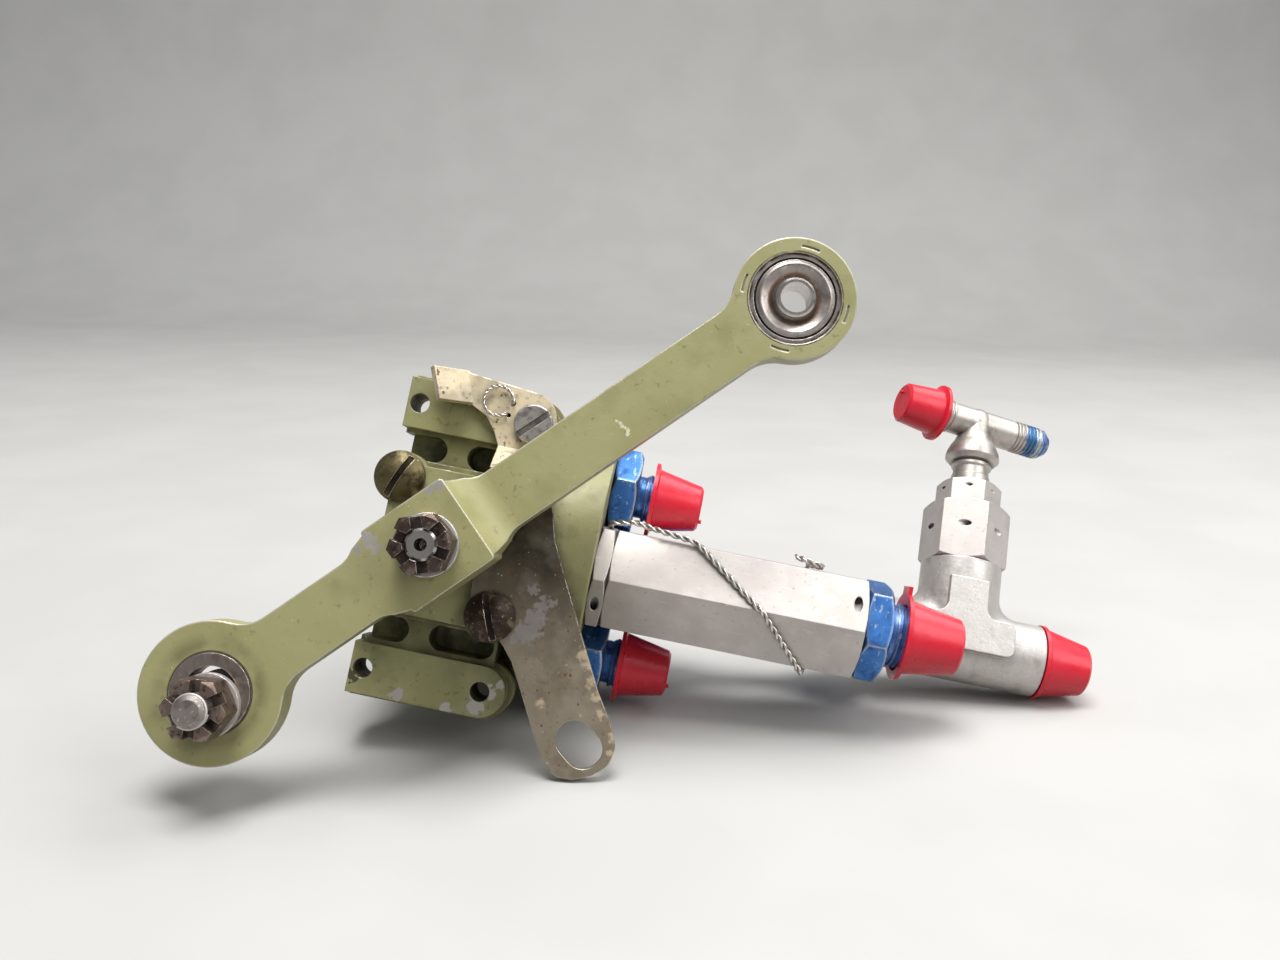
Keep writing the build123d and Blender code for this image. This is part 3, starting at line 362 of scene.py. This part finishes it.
# Cadmium gone purple-brown on the castle nuts, rubbed greyer on the loose bolt's
tarnish = {
    "base": "4F423C", "roughness": 0.42, "metallic": 0.85, "roughSpread": 0.1,
    "mottle": [{"hex": "8E8077", "size": 2.0, "low": 0.56, "high": 0.68, "amount": 0.7},
               {"hex": "3A2C26", "size": 1.5, "low": 0.52, "high": 0.64, "amount": 0.8},
               {"hex": "82655A", "size": 1.0, "low": 0.56, "high": 0.66, "amount": 0.6}],
    "dirtAndShade": {"hex": "1A1410", "reach": 1.8, "amount": 0.95, "low": 0.85},
    "wear": {"radius": 0.25, "hex": "B3A89F", "low": 0.44, "patch": 1.5, "roughness": 0.35},
    "bumps": [{"size": 0.4, "height": 0.03}],
}
tarnishedPlate = surface("tarnishedPlate", tarnish)
rubbedPlate = surface("rubbedPlate", {**tarnish, "base": "7A6A61"})
dress(tarnishedPlate, "shaft_nut")
dress(rubbedPlate, "link_nut")

# Cover screws: oiled steel, olive brown on the left, dark purple-brown on the right
screwSteel = surface("screwSteel", {
    "base": "5F5539", "roughness": 0.42, "metallic": 0.8, "roughSpread": 0.1,
    "zones": [{"axis": 0, "from": -1.0, "to": 1.0, "hex": "3A2E28", "roughness": 0.4}],
    "mottle": [{"hex": "7D725B", "size": 1.6, "low": 0.56, "high": 0.68, "amount": 0.55},
               {"hex": "2B231A", "size": 2.4, "low": 0.5, "high": 0.62, "amount": 0.7},
               {"hex": "A8997A", "size": 0.7, "low": 0.68, "high": 0.72, "amount": 0.7}],
    "dirtAndShade": {"hex": "130F0B", "reach": 2.0, "amount": 0.98, "low": 0.9},
    "wear": {"radius": 0.35, "hex": "C8BEA8", "low": 0.42, "patch": 1.8, "roughness": 0.35},
    "bumps": [{"size": 0.5, "height": 0.05}],
})
dress(screwSteel, "cover_screws")

# Grey steel screw in the ear, dull, with brown specks
earSteel = surface("earSteel", {
    "base": "B9B3AC", "roughness": 0.4, "metallic": 0.9, "roughSpread": 0.08,
    "mottle": [{"hex": "6E6862", "size": 2.0, "low": 0.5, "high": 0.66, "amount": 0.7},
               {"hex": "5A4636", "size": 1.2, "low": 0.6, "high": 0.7, "amount": 0.6, "roughness": 0.6}],
    "dirtAndShade": {"hex": "241C15", "reach": 1.5, "amount": 0.8},
    "wear": {"radius": 0.3, "hex": "C8C4BE", "low": 0.4, "patch": 1.5},
    "bumps": [{"size": 0.4, "height": 0.02}],
})
dress(earSteel, "ear_screw")

# Old sheet steel: tan primer above, dark brown under the lever, grey-green below, rubbed pale in places
rubbedPatch = [(23.4, -7.6, 2.2), (21.1, -14.3, 2.6), (20.5, -5.4, 1.2), (22.6, -11.0, 2.2), (18.8, -16.0, 1.4)]
tanEdge = [(33.9, -16.5, 1.5), (35.2, -18.6, 1.4), (36.8, -21.6, 1.5), (38.4, -24.8, 1.4), (39.8, -28.2, 1.3),
           (27.0, -28.1, 1.1), (43.2, -32.5, 1.3), (43.4, -35.5, 1.2)]
brownStains = [(-8.2, 33.0, 1.3), (-3.5, 31.4, 1.8), (8.6, 22.0, 1.6), (7.8, 18.8, 1.7), (18.8, 34.2, 1.5),
               (20.8, 31.7, 1.4), (6.2, 22.2, 1.3), (6.7, 17.9, 1.2), (-8.0, 33.4, 1.0)]
agedSheet = surface("agedSheet", {
    "base": "887D6B", "roughness": 0.42, "metallic": 0.35, "roughSpread": 0.12,
    "zones": [{"axis": 2, "from": -21.0, "to": 2.0, "ragged": 8.0, "swing": 5.0, "hex": "352C1E"},
              {"axis": 2, "from": 15.0, "to": 19.0, "ragged": 5.0, "swing": 3.0, "hex": "DCCCAB",
               "roughness": 0.55, "metallic": 0.0}],
    "mottle": [{"hex": "9F9686", "size": 9.0, "low": 0.5, "high": 0.66, "amount": 0.35},
               {"hex": "5F5643", "size": 5.0, "low": 0.5, "high": 0.66, "amount": 0.4},
               {"hex": "5A5340", "size": 1.6, "low": 0.58, "high": 0.7, "amount": 0.45},
               {"hex": "B9B3A2", "size": 0.8, "low": 0.66, "high": 0.7, "amount": 0.7, "roughness": 0.4},
               {"hex": "6E4426", "size": 1.3, "low": 0.66, "high": 0.71, "amount": 0.9, "roughness": 0.8}],
    "spots": spotsOn(layout["bracketFace"], rubbedPatch, hex="9A938F", roughness=0.4, metallic=0.6,
                     amount=0.85, soft=0.15)
             + spotsOn(layout["bracketFace"], tanEdge, hex="BDAA8B", roughness=0.6, metallic=0.0,
                       amount=0.8, soft=0.5)
             + spotsOn(layout["bracketFace"], brownStains, hex="7A5632", roughness=0.8, metallic=0.0,
                       amount=0.75, soft=0.4),
    "dirtAndShade": {"hex": "2A2215", "reach": 3.0, "amount": 0.7},
    "wear": {"radius": 0.35, "hex": "C6C0B2", "low": 0.4, "patch": 3.0, "roughness": 0.35},
    "bumps": [{"size": 5.0, "height": 0.06}, {"size": 0.6, "height": 0.035}],
})
dress(agedSheet, "bracket")

# Blue anodised alloy: coloured metal, silver where the edges have rubbed
blueAnodised = surface("blueAnodised", {
    "base": "3A6EB4", "roughness": 0.36, "metallic": 0.75, "roughSpread": 0.08,
    "mottle": [{"hex": "528BCC", "size": 5.0, "low": 0.45, "high": 0.65, "amount": 0.6},
               {"hex": "1D3560", "size": 2.5, "low": 0.54, "high": 0.68, "amount": 0.6},
               {"hex": "B4C2D0", "size": 1.6, "low": 0.62, "high": 0.7, "amount": 0.7,
                "stretch": (1.8, 0.4, 1.0)},
               {"hex": "D2D4D4", "size": 0.7, "low": 0.7, "high": 0.73, "amount": 0.7}],
    "dirtAndShade": {"hex": "10131C", "reach": 1.6, "amount": 0.9, "low": 0.88},
    "wear": {"radius": 1.0, "hex": "CFCFCF", "low": 0.25, "patch": 2.2, "roughness": 0.34},
    "bumps": [{"size": 0.5, "height": 0.012}],
})
dress(blueAnodised, "upper_union", "lower_union", "outlet_union", "return_union", "tube_nuts")

# Soft red polythene caps: saturated, waxy gloss, a little light through the rim
redPolythene = surface("redPolythene", {
    "base": "D51931", "roughness": 0.32, "subsurface": 0.12, "roughSpread": 0.08,
    "mottle": [{"hex": "DE2C45", "size": 9.0, "low": 0.45, "high": 0.7, "amount": 0.35},
               {"hex": "A90E20", "size": 6.0, "low": 0.55, "high": 0.75, "amount": 0.35}],
    "dirtAndShade": {"hex": "5A0A10", "reach": 1.2, "amount": 0.2},
    "bumps": [{"size": 3.0, "height": 0.05}, {"size": 0.5, "height": 0.01}],
})
dress(redPolythene, "upper_cap", "lower_cap", "outlet_cap", "run_cap", "gauge_cap")

# Bead-blasted forging, silver with a fine sparkle; the blasting is drawn coarser than real so that it shows
forgedAlloy = surface("forgedAlloy", {
    "base": "BEBAB5", "roughness": 0.45, "metallic": 0.6, "roughSpread": 0.09,
    "mottle": [{"hex": "A8A29C", "size": 11.0, "low": 0.45, "high": 0.68, "amount": 0.5},
               {"hex": "D6D3CF", "size": 0.6, "low": 0.56, "high": 0.7, "amount": 0.4},
               {"hex": "8A837C", "size": 4.5, "low": 0.56, "high": 0.7, "amount": 0.4},
               {"hex": "7E7872", "size": 0.7, "low": 0.64, "high": 0.72, "amount": 0.45}],
    "dirtAndShade": {"hex": "38322D", "reach": 4.0, "amount": 0.8, "low": 0.88},
    "wear": {"radius": 0.4, "hex": "DCD9D6", "low": 0.42, "patch": 2.5},
    "bumps": [{"size": 0.6, "height": 0.045, "detail": 4.0}, {"size": 5.0, "height": 0.12}],
})
dress(forgedAlloy, "tee")

# Machined alloy, grey, with blue dye left in bands on the bare arm's end
# Each band: start and full strength along X past the tee's axis, ragged patches, swing, colour, metallic
dyeBands = [(13.6, 14.6, 2.0, 1.2, "3E6E9E", 0.6), (16.6, 17.0, 1.5, 0.8, "A9B4BC", 0.8),
            (18.4, 18.8, 1.5, 0.6, "2C5C9C", 0.6)]
machinedAlloy = surface("machinedAlloy", {
    "base": "B5AFA8", "roughness": 0.42, "metallic": 0.85, "roughSpread": 0.06,
    "zones": [{"axis": 0, "from": layout["teeX"] + first, "to": layout["teeX"] + full, "ragged": ragged,
               "swing": swing, "hex": dye, "roughness": 0.4, "metallic": metallic}
              for first, full, ragged, swing, dye, metallic in dyeBands],
    "mottle": [{"hex": "8A837B", "size": 4.0, "low": 0.5, "high": 0.68, "amount": 0.6},
               {"hex": "D0CCC7", "size": 2.0, "low": 0.56, "high": 0.7, "amount": 0.4}],
    # Dirt and painted shade, strong enough to darken the roots of the thread ridges
    "dirtAndShade": {"hex": "2E2823", "reach": 1.2, "amount": 0.9, "low": 0.92},
    "wear": {"radius": 0.3, "hex": "DAD7D3", "low": 0.4, "patch": 1.6},
    "bumps": [{"size": 0.5, "height": 0.015}],
})
dress(machinedAlloy, "gauge_tee")

# Ground stainless steel: bright, with a thin film of oil
brightSteel = surface("brightSteel", {
    "base": "B3ADA7", "roughness": 0.28, "metallic": 1.0, "roughSpread": 0.06,
    "mottle": [{"hex": "8B847D", "size": 3.0, "low": 0.5, "high": 0.7, "amount": 0.5}],
    "dirtAndShade": {"hex": "2B241D", "reach": 1.5, "amount": 0.6},
    "bumps": [{"size": 0.4, "height": 0.01}],
})
dress(brightSteel, "control_shaft", "bearing_ball", "stop_pin", "rotor", "check_poppet", "check_spring",
      "seal_springs")

# Drawn stainless locking wire, bright on the twists
drawnWire = surface("drawnWire", {
    "base": "C9C3BD", "roughness": 0.3, "metallic": 1.0, "roughSpread": 0.06,
    "mottle": [{"hex": "9A928A", "size": 3.0, "low": 0.5, "high": 0.7, "amount": 0.5}],
    "dirtAndShade": {"hex": "2B241D", "reach": 0.8, "amount": 0.8},
})
dress(drawnWire, "lockwire", "wire_loop")

# The bearing's race: bright steel, brown with old grease in its groove and seams
greasedRace = surface("greasedRace", {
    "base": "9D9590", "roughness": 0.34, "metallic": 0.9, "roughSpread": 0.08,
    "rings": [{"at": bearingAt, "radius": 5.1, "width": 0.7, "sharp": 0.3, "hex": "6B4A2C", "roughness": 0.5,
               "amount": 0.8, "broken": (0.3, 0.5)},
              {"at": bearingAt, "radius": 8.35, "width": 0.3, "hex": "2A211A", "roughness": 0.6},
              {"at": bearingAt, "radius": 9.3, "width": 0.3, "hex": "4C3A28", "roughness": 0.6,
               "broken": (0.35, 0.55)}],
    "mottle": [{"hex": "786A60", "size": 2.5, "low": 0.5, "high": 0.64, "amount": 0.5},
               {"hex": "C4BEB9", "size": 1.8, "low": 0.55, "high": 0.7, "amount": 0.5}],
    "dirtAndShade": {"hex": "38281A", "reach": 0.8, "amount": 0.8},
    "wear": {"radius": 0.25, "hex": "D6D0CA", "low": 0.36, "patch": 1.5},
    "bumps": [{"size": 0.4, "height": 0.012}],
})
dress(greasedRace, "bearing_race")

# Drawn light alloy tube and its sleeves: smooth, satin grey
drawnAlloy = surface("drawnAlloy", {
    "base": "B2AEA9", "roughness": 0.4, "metallic": 0.9, "roughSpread": 0.05,
    "mottle": [{"hex": "918B85", "size": 5.0, "low": 0.5, "high": 0.68, "amount": 0.5}],
    "bumps": [{"size": 0.5, "height": 0.01}],
})
dress(drawnAlloy, "return_tube", "tube_sleeves")

# Bronze thrust washer, filled fluoroplastic seals and nitrile rings, all inside and clean
plainBronze = surface("plainBronze", {
    "base": "8F6B3A", "roughness": 0.35, "metallic": 1.0,
    "mottle": [{"hex": "B08D54", "size": 3.0, "low": 0.5, "high": 0.7, "amount": 0.5}],
})
filledPlastic = surface("filledPlastic", {
    "base": "D9D5CB", "roughness": 0.5,
    "mottle": [{"hex": "C4BFB2", "size": 4.0, "low": 0.5, "high": 0.7, "amount": 0.5}],
})
nitrile = surface("nitrile", {
    "base": "1B1B1B", "roughness": 0.6,
    "mottle": [{"hex": "2A2A2A", "size": 2.0, "low": 0.5, "high": 0.7, "amount": 0.5}],
})
dress(plainBronze, "thrust_washer")
dress(filledPlastic, "port_seals")
dress(nitrile, "port_rings", "outlet_ring", "cover_seal", "shaft_seal")
print("finishes done:", len(bpy.data.materials))


def newTree(name, sockets):
    tree = bpy.data.node_groups.new(name, "GeometryNodeTree")
    tree.interface.new_socket("Geometry", in_out="INPUT", socket_type="NodeSocketGeometry")
    tree.interface.new_socket("Geometry", in_out="OUTPUT", socket_type="NodeSocketGeometry")
    tree.interface.new_socket("Material", in_out="INPUT", socket_type="NodeSocketMaterial")
    for key, value in sockets.items():
        socket = tree.interface.new_socket(key, in_out="INPUT", socket_type="NodeSocketFloat")
        socket.default_value = value * mm
    return tree


# Every tree ends in the same way: smooth faces, real geometry, its own material
def closeTree(tree, shape, material):
    smooth = put(tree, "GeometryNodeSetShadeSmooth", {"Geometry": shape})
    real = put(tree, "GeometryNodeRealizeInstances", {"Geometry": smooth})
    done = put(tree, "GeometryNodeSetMaterial", {"Geometry": real, "Material": material})
    addNode(tree, "NodeGroupOutput", {0: done})


# A tree input's identifier, which a modifier takes instead of the name
def identifierOf(tree, name):
    for item in tree.interface.items_tree:
        if item.item_type == "SOCKET" and item.in_out == "INPUT" and item.name == name:
            return item.identifier
    raise KeyError(name)


# A plain mesh from a tree, its sizes given in millimetres
def grow(tree, name, sizes, material, base=None):
    maker = bpy.data.objects.new(name + "Maker", base or bpy.data.meshes.new(name + "Maker"))
    bpy.context.scene.collection.objects.link(maker)
    modifier = maker.modifiers.new("grow", "NODES")
    modifier.node_group = tree
    for key, value in sizes.items():
        modifier[identifierOf(tree, key)] = value * mm
    modifier[identifierOf(tree, "Material")] = material
    graph = bpy.context.evaluated_depsgraph_get()
    mesh = bpy.data.meshes.new_from_object(maker.evaluated_get(graph))
    maker.modifiers.clear()
    bpy.data.objects.remove(maker)
    mesh.name = name
    piece = bpy.data.objects.new(name, mesh)
    bpy.context.scene.collection.objects.link(piece)
    return piece


# Thread: one round-crested ridge wound along a cylinder, its root on the solid's surface
ridge = {"share": 0.36, "around": 30, "section": 8, "crest": 0.32}    # share is its own radius over the pitch


def threadTree():
    tree = newTree("threadRidge", {"Radius": 3.0, "Length": 8.0, "Pitch": 1.0, "Crest": 0.2})
    given = addNode(tree, "NodeGroupInput").outputs
    turns = put(tree, "ShaderNodeMath", {0: given["Length"], 1: given["Pitch"]}, operation="DIVIDE")
    wide = put(tree, "ShaderNodeMath", {0: given["Pitch"], 1: ridge["share"]}, operation="MULTIPLY")
    sunk = put(tree, "ShaderNodeMath", {0: given["Crest"], 1: wide}, operation="SUBTRACT")
    middle = put(tree, "ShaderNodeMath", {0: given["Radius"], 1: sunk}, operation="ADD")
    spiral = put(tree, "GeometryNodeCurveSpiral", {"Resolution": ridge["around"], "Rotations": turns,
                 "Start Radius": middle, "End Radius": middle, "Height": given["Length"]})
    ring = put(tree, "GeometryNodeCurvePrimitiveCircle", {"Resolution": ridge["section"], "Radius": wide})
    wound = put(tree, "GeometryNodeCurveToMesh", {"Curve": spiral, "Profile Curve": ring, "Fill Caps": True})
    closeTree(tree, wound, given["Material"])
    return tree


ridgeTree = threadTree()
alongX = Matrix.Rotation(math.radians(90), 4, "Y")
againstX = Matrix.Rotation(math.radians(-90), 4, "Y")
toFront = Matrix.Rotation(math.radians(90), 4, "X")             # +Z turned to the lever side
gaugeFrame = (Matrix.Translation(Vector((layout["teeX"], back(layout["rearPort"]), 0)) * mm)
              @ Matrix.Rotation(-math.radians(layout["teeLean"]), 4, "X")
              @ Matrix.Translation((0, 0, layout["gaugeHeight"] * mm))
              @ Matrix.Rotation(math.radians(layout["gaugeTurn"]), 4, "Z"))


def at(x, depth, z):
    return Matrix.Translation((x * mm, back(depth) * mm, z * mm))


def onGauge(x):
    return gaugeFrame @ Matrix.Translation((x * mm, 0, 0))


sideThread = {"Radius": 5.56, "Length": 5.6, "Pitch": 1.27}
largeThread = {"Radius": 7.145, "Length": 4.6, "Pitch": 1.411}
bareThread = {"Radius": 3.97, "Length": 7.8, "Pitch": 1.058}
cappedThread = {"Radius": 4.1, "Length": 3.0, "Pitch": 1.058}
boltThread = {"Radius": 3.175, "Length": 1.2, "Pitch": 0.907}
starts = {"side": 39.9, "outlet": layout["valveEnd"] + 8.3, "bare": 10.9, "capped": -7.9,
          "bolt": (bushAt[0] + 0.42, -9.2, bushAt[1] - 2.1)}
threads = {     # name: start frame, sizes, material, body, slot
    "upperThread": (at(starts["side"], layout["sidePort"], layout["portPitch"]) @ alongX, sideThread,
                    blueAnodised, "valve", "blue_anodise"),
    "lowerThread": (at(starts["side"], layout["sidePort"], -layout["portPitch"]) @ alongX, sideThread,
                    blueAnodised, "valve", "blue_anodise"),
    "outletThread": (at(starts["outlet"], layout["frontPort"], 0) @ alongX, largeThread,
                     blueAnodised, "valve", "blue_anodise"),
    "gaugeThread": (onGauge(starts["bare"]) @ alongX, bareThread, machinedAlloy, "valve", "grey_alloy"),
    "cappedThread": (onGauge(starts["capped"]) @ againstX, cappedThread, machinedAlloy, "valve", "grey_alloy"),
    "linkThread": (at(*starts["bolt"]) @ toFront, boltThread, cadmiumPlate, "link", "plated_steel"),
}
for name, (place, sizes, material, body, slotName) in threads.items():
    piece = grow(ridgeTree, name, {**sizes, "Crest": ridge["crest"]}, material)
    piece.data.transform(place)
    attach(piece, body)
print("threads done:", len(threads))


# Locking wire: two strands twisted round each other along a line
strands = {"step": 0.18, "section": 8}


def twistTree():
    tree = newTree("twistedPair", {"Strand": 0.4, "Twist": 3.0, "Step": strands["step"]})
    given = addNode(tree, "NodeGroupInput").outputs
    path = put(tree, "GeometryNodeResampleCurve", {"Curve": given["Geometry"], "Length": given["Step"]},
               mode="LENGTH")
    far = put(tree, "GeometryNodeSplineParameter", out="Length")
    turns = put(tree, "ShaderNodeMath", {0: far, 1: given["Twist"]}, operation="DIVIDE")
    angle = put(tree, "ShaderNodeMath", {0: turns, 1: math.tau}, operation="MULTIPLY")
    normal = put(tree, "GeometryNodeInputNormal")
    tangent = put(tree, "GeometryNodeInputTangent")
    ring = put(tree, "GeometryNodeCurvePrimitiveCircle", {"Resolution": strands["section"],
               "Radius": given["Strand"]})
    join = addNode(tree, "GeometryNodeJoinGeometry")
    for half in (0.0, math.pi):
        own = put(tree, "ShaderNodeMath", {0: angle, 1: half}, operation="ADD")
        spun = put(tree, "ShaderNodeVectorRotate", {"Vector": normal, "Axis": tangent, "Angle": own})
        shift = put(tree, "ShaderNodeVectorMath", {0: spun, "Scale": given["Strand"]}, operation="SCALE")
        strand = put(tree, "GeometryNodeSetPosition", {"Geometry": path, "Offset": shift})
        wire = put(tree, "GeometryNodeCurveToMesh", {"Curve": strand, "Profile Curve": ring, "Fill Caps": True})
        tree.links.new(wire, join.inputs[0])
    closeTree(tree, join.outputs[0], given["Material"])
    return tree


twistPair = twistTree()


def twistAlong(points, name, wire):
    line = bpy.data.curves.new(name + "Line", "CURVE")
    line.dimensions = "3D"
    spline = line.splines.new("POLY")
    spline.points.add(len(points) - 1)
    for point, spot in zip(spline.points, points):
        point.co = (*spot, 1.0)
    sizes = {"Strand": wire["strand"], "Twist": wire["twist"], "Step": strands["step"]}
    return grow(twistPair, name, sizes, drawnWire, line)


# From the jam nut's hole round the barrel: bends are X, angle up from the front and gap to the corners
lockwire = {"strand": 0.37, "twist": 4.6, "lift": 0.80, "holeLift": 116, "holeInset": 3.2, "straight": 8.4,
            "curlRise": 0.9,
            "bends": [(38.5, 66, 1.0), (45.0, 59, 1.0), (51.0, 58, 0.4), (53.6, 57, 0.0), (70.1, -2, 0.0),
                      (81.9, -62, 0.2), (84.5, -122, 0.0), (80.0, 178, 0.0), (81.0, 118, 0.1)],
            "curl": [(83.6, 1.0, 0.1), (82.0, -3.5, 0.3), (78.5, -4.5, 0.8), (76.8, -2.0, 1.2)]}


def roundHex(x, lift, radius):
    a = math.radians(lift)
    return Vector((x, back(layout["frontPort"]) - radius * math.cos(a), radius * math.sin(a))) * mm


corner = (layout["valveHex"] / 2 + lockwire["lift"]) / math.cos(math.radians(30))
holeRadius = layout["valveHex"] / math.sqrt(3) - lockwire["holeInset"]
nutMiddle = (layout["portFace"] + layout["valveStart"]) / 2
holeLift = math.radians(lockwire["holeLift"])
start = roundHex(nutMiddle, lockwire["holeLift"], holeRadius)
leave = start + Vector((0, -math.sin(holeLift), -math.cos(holeLift))) * lockwire["straight"] * mm
flatTop = layout["valveHex"] / 2 + lockwire["curlRise"]
route = ([start, leave] + [roundHex(x, lift, corner + gap) for x, lift, gap in lockwire["bends"]]
         + [Vector((x, back(layout["frontPort"]) + y, flatTop + z)) * mm for x, y, z in lockwire["curl"]])
twisted = twistAlong(route, "twistedWire", lockwire)
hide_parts("lockwire")
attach(twisted, "valve")

# Loop of finer wire hooked through two holes in the bracket
wireLoop = {"strand": 0.21, "twist": 2.6, "centre": (4.3, 33.2), "radius": 3.25, "depth": 23.1, "hooked": 25.3,
            "from": -48.0, "to": -356.0, "bulge": 0.3, "points": 28}


def onLoop(degrees, depth):
    a = math.radians(degrees)
    return Vector((wireLoop["centre"][0] + wireLoop["radius"] * math.cos(a), back(depth),
                   wireLoop["centre"][1] + wireLoop["radius"] * math.sin(a))) * mm


loopRoute = [onLoop(wireLoop["from"], wireLoop["hooked"])]
for k in range(wireLoop["points"] + 1):
    share = k / wireLoop["points"]
    degrees = wireLoop["from"] + (wireLoop["to"] - wireLoop["from"]) * share
    loopRoute.append(onLoop(degrees, wireLoop["depth"] - wireLoop["bulge"] * math.sin(math.pi * share)))
loopRoute.append(onLoop(wireLoop["to"], wireLoop["hooked"]))
twistedLoop = twistAlong(loopRoute, "twistedLoop", wireLoop)
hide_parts("wire_loop")
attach(twistedLoop, "valve")
print("locking wires done")

# Camera at the photograph's viewing angle: focal length in pixels of the picture's width, place in millimetres
view = {"focal": 1140.7, "width": 1280, "sensor": 36.0, "at": (41.7, -306.3, 6.1),
        "right": (0.98003, 0.00138, 0.19883), "up": (-0.19829, -0.06716, 0.97784), "nearest": 0.01}
lens = bpy.data.cameras.new("valveCamera")
lens.sensor_width = view["sensor"]
lens.lens = view["sensor"] * view["focal"] / view["width"]
lens.clip_start = view["nearest"]
camera = bpy.data.objects.new("valveCamera", lens)
right = Vector(view["right"]).normalized()
up = (Vector(view["up"]) - Vector(view["up"]).dot(right) * right).normalized()
turned = Matrix((right, up, right.cross(up))).transposed().to_4x4()
camera.matrix_world = Matrix.Translation(Vector(view["at"]) * mm) @ turned
bpy.context.scene.collection.objects.link(camera)
bpy.context.scene.camera = camera

# Floor through the bracket's foot, the port head's lower corner and the end cap, swept up far behind
# The point is in millimetres, the rest in metres
stand = {"normal": (-0.1645, -0.2905, 0.9426), "through": (36.4, -61.2, -42.85), "half": 1.6, "front": 1.2,
         "wall": 0.9, "level": 0.88, "bend": 0.35, "bendSteps": 12, "height": 0.9}
floorUp = Vector(stand["normal"]).normalized()
floorSide = (right - right.dot(floorUp) * floorUp).normalized()
floorBack = floorUp.cross(floorSide)
profile = [(-stand["front"], 0.0), (stand["level"], 0.0)]
for k in range(1, stand["bendSteps"] + 1):
    a = math.radians(90) * k / stand["bendSteps"]
    profile.append((stand["wall"] + stand["bend"] * math.sin(a), stand["bend"] * (1 - math.cos(a))))
profile.append((stand["wall"] + stand["bend"], stand["height"]))
sweep = bmesh.new()
rows = []
for sideways in (-stand["half"], stand["half"]):
    edgeStart = Vector(stand["through"]) * mm + floorSide * sideways
    rows.append([sweep.verts.new(edgeStart + floorBack * out + floorUp * high) for out, high in profile])
for k in range(len(profile) - 1):
    sweep.faces.new((rows[0][k], rows[1][k], rows[1][k + 1], rows[0][k + 1])).smooth = True
floorMesh = bpy.data.meshes.new("paleSweep")
sweep.to_mesh(floorMesh)
floor = bpy.data.objects.new("paleSweep", floorMesh)
bpy.context.scene.collection.objects.link(floor)

# Pale matt paper; it bounces less light than it shows, so that the undersides stay in shade
palePaper = surface("palePaper", {
    "base": "B5B4B1", "roughness": 0.85, "bounce": "767471",
    "mottle": [{"hex": "AEADAA", "size": 60.0, "low": 0.4, "high": 0.6, "amount": 0.5}],
})
floorMesh.materials.append(palePaper)

# Soft studio light: a broad lamp high at the front left, a fill at the right, one above and a pale world
studio = {"hex": "F1F3F6", "strength": 0.36, "aim": (0.05, -0.05, 0.0)}
world = bpy.data.worlds.new("studio")
world.use_nodes = True
world.node_tree.nodes["Background"].inputs[0].default_value = colour(studio["hex"])
world.node_tree.nodes["Background"].inputs[1].default_value = studio["strength"]
bpy.context.scene.world = world
lamps = {
    "keyLamp": {"at": (-0.21, -0.57, 1.13), "size": 0.63, "power": 19.4},
    "fillLamp": {"at": (0.72, -0.65, 0.6), "size": 0.68, "power": 5.6},
    "topLamp": {"at": (0.42, 0.02, 1.05), "size": 0.75, "power": 6.6},
}
for name, lamp in lamps.items():
    light = bpy.data.lights.new(name, "AREA")
    light.size = lamp["size"]
    light.energy = lamp["power"]
    holder = bpy.data.objects.new(name, light)
    facing = (Vector(studio["aim"]) - Vector(lamp["at"])).to_track_quat("-Z", "Y").to_matrix().to_4x4()
    holder.matrix_world = Matrix.Translation(lamp["at"]) @ facing
    bpy.context.scene.collection.objects.link(holder)
bpy.context.scene.view_settings.view_transform = "Standard"
print("stage done")
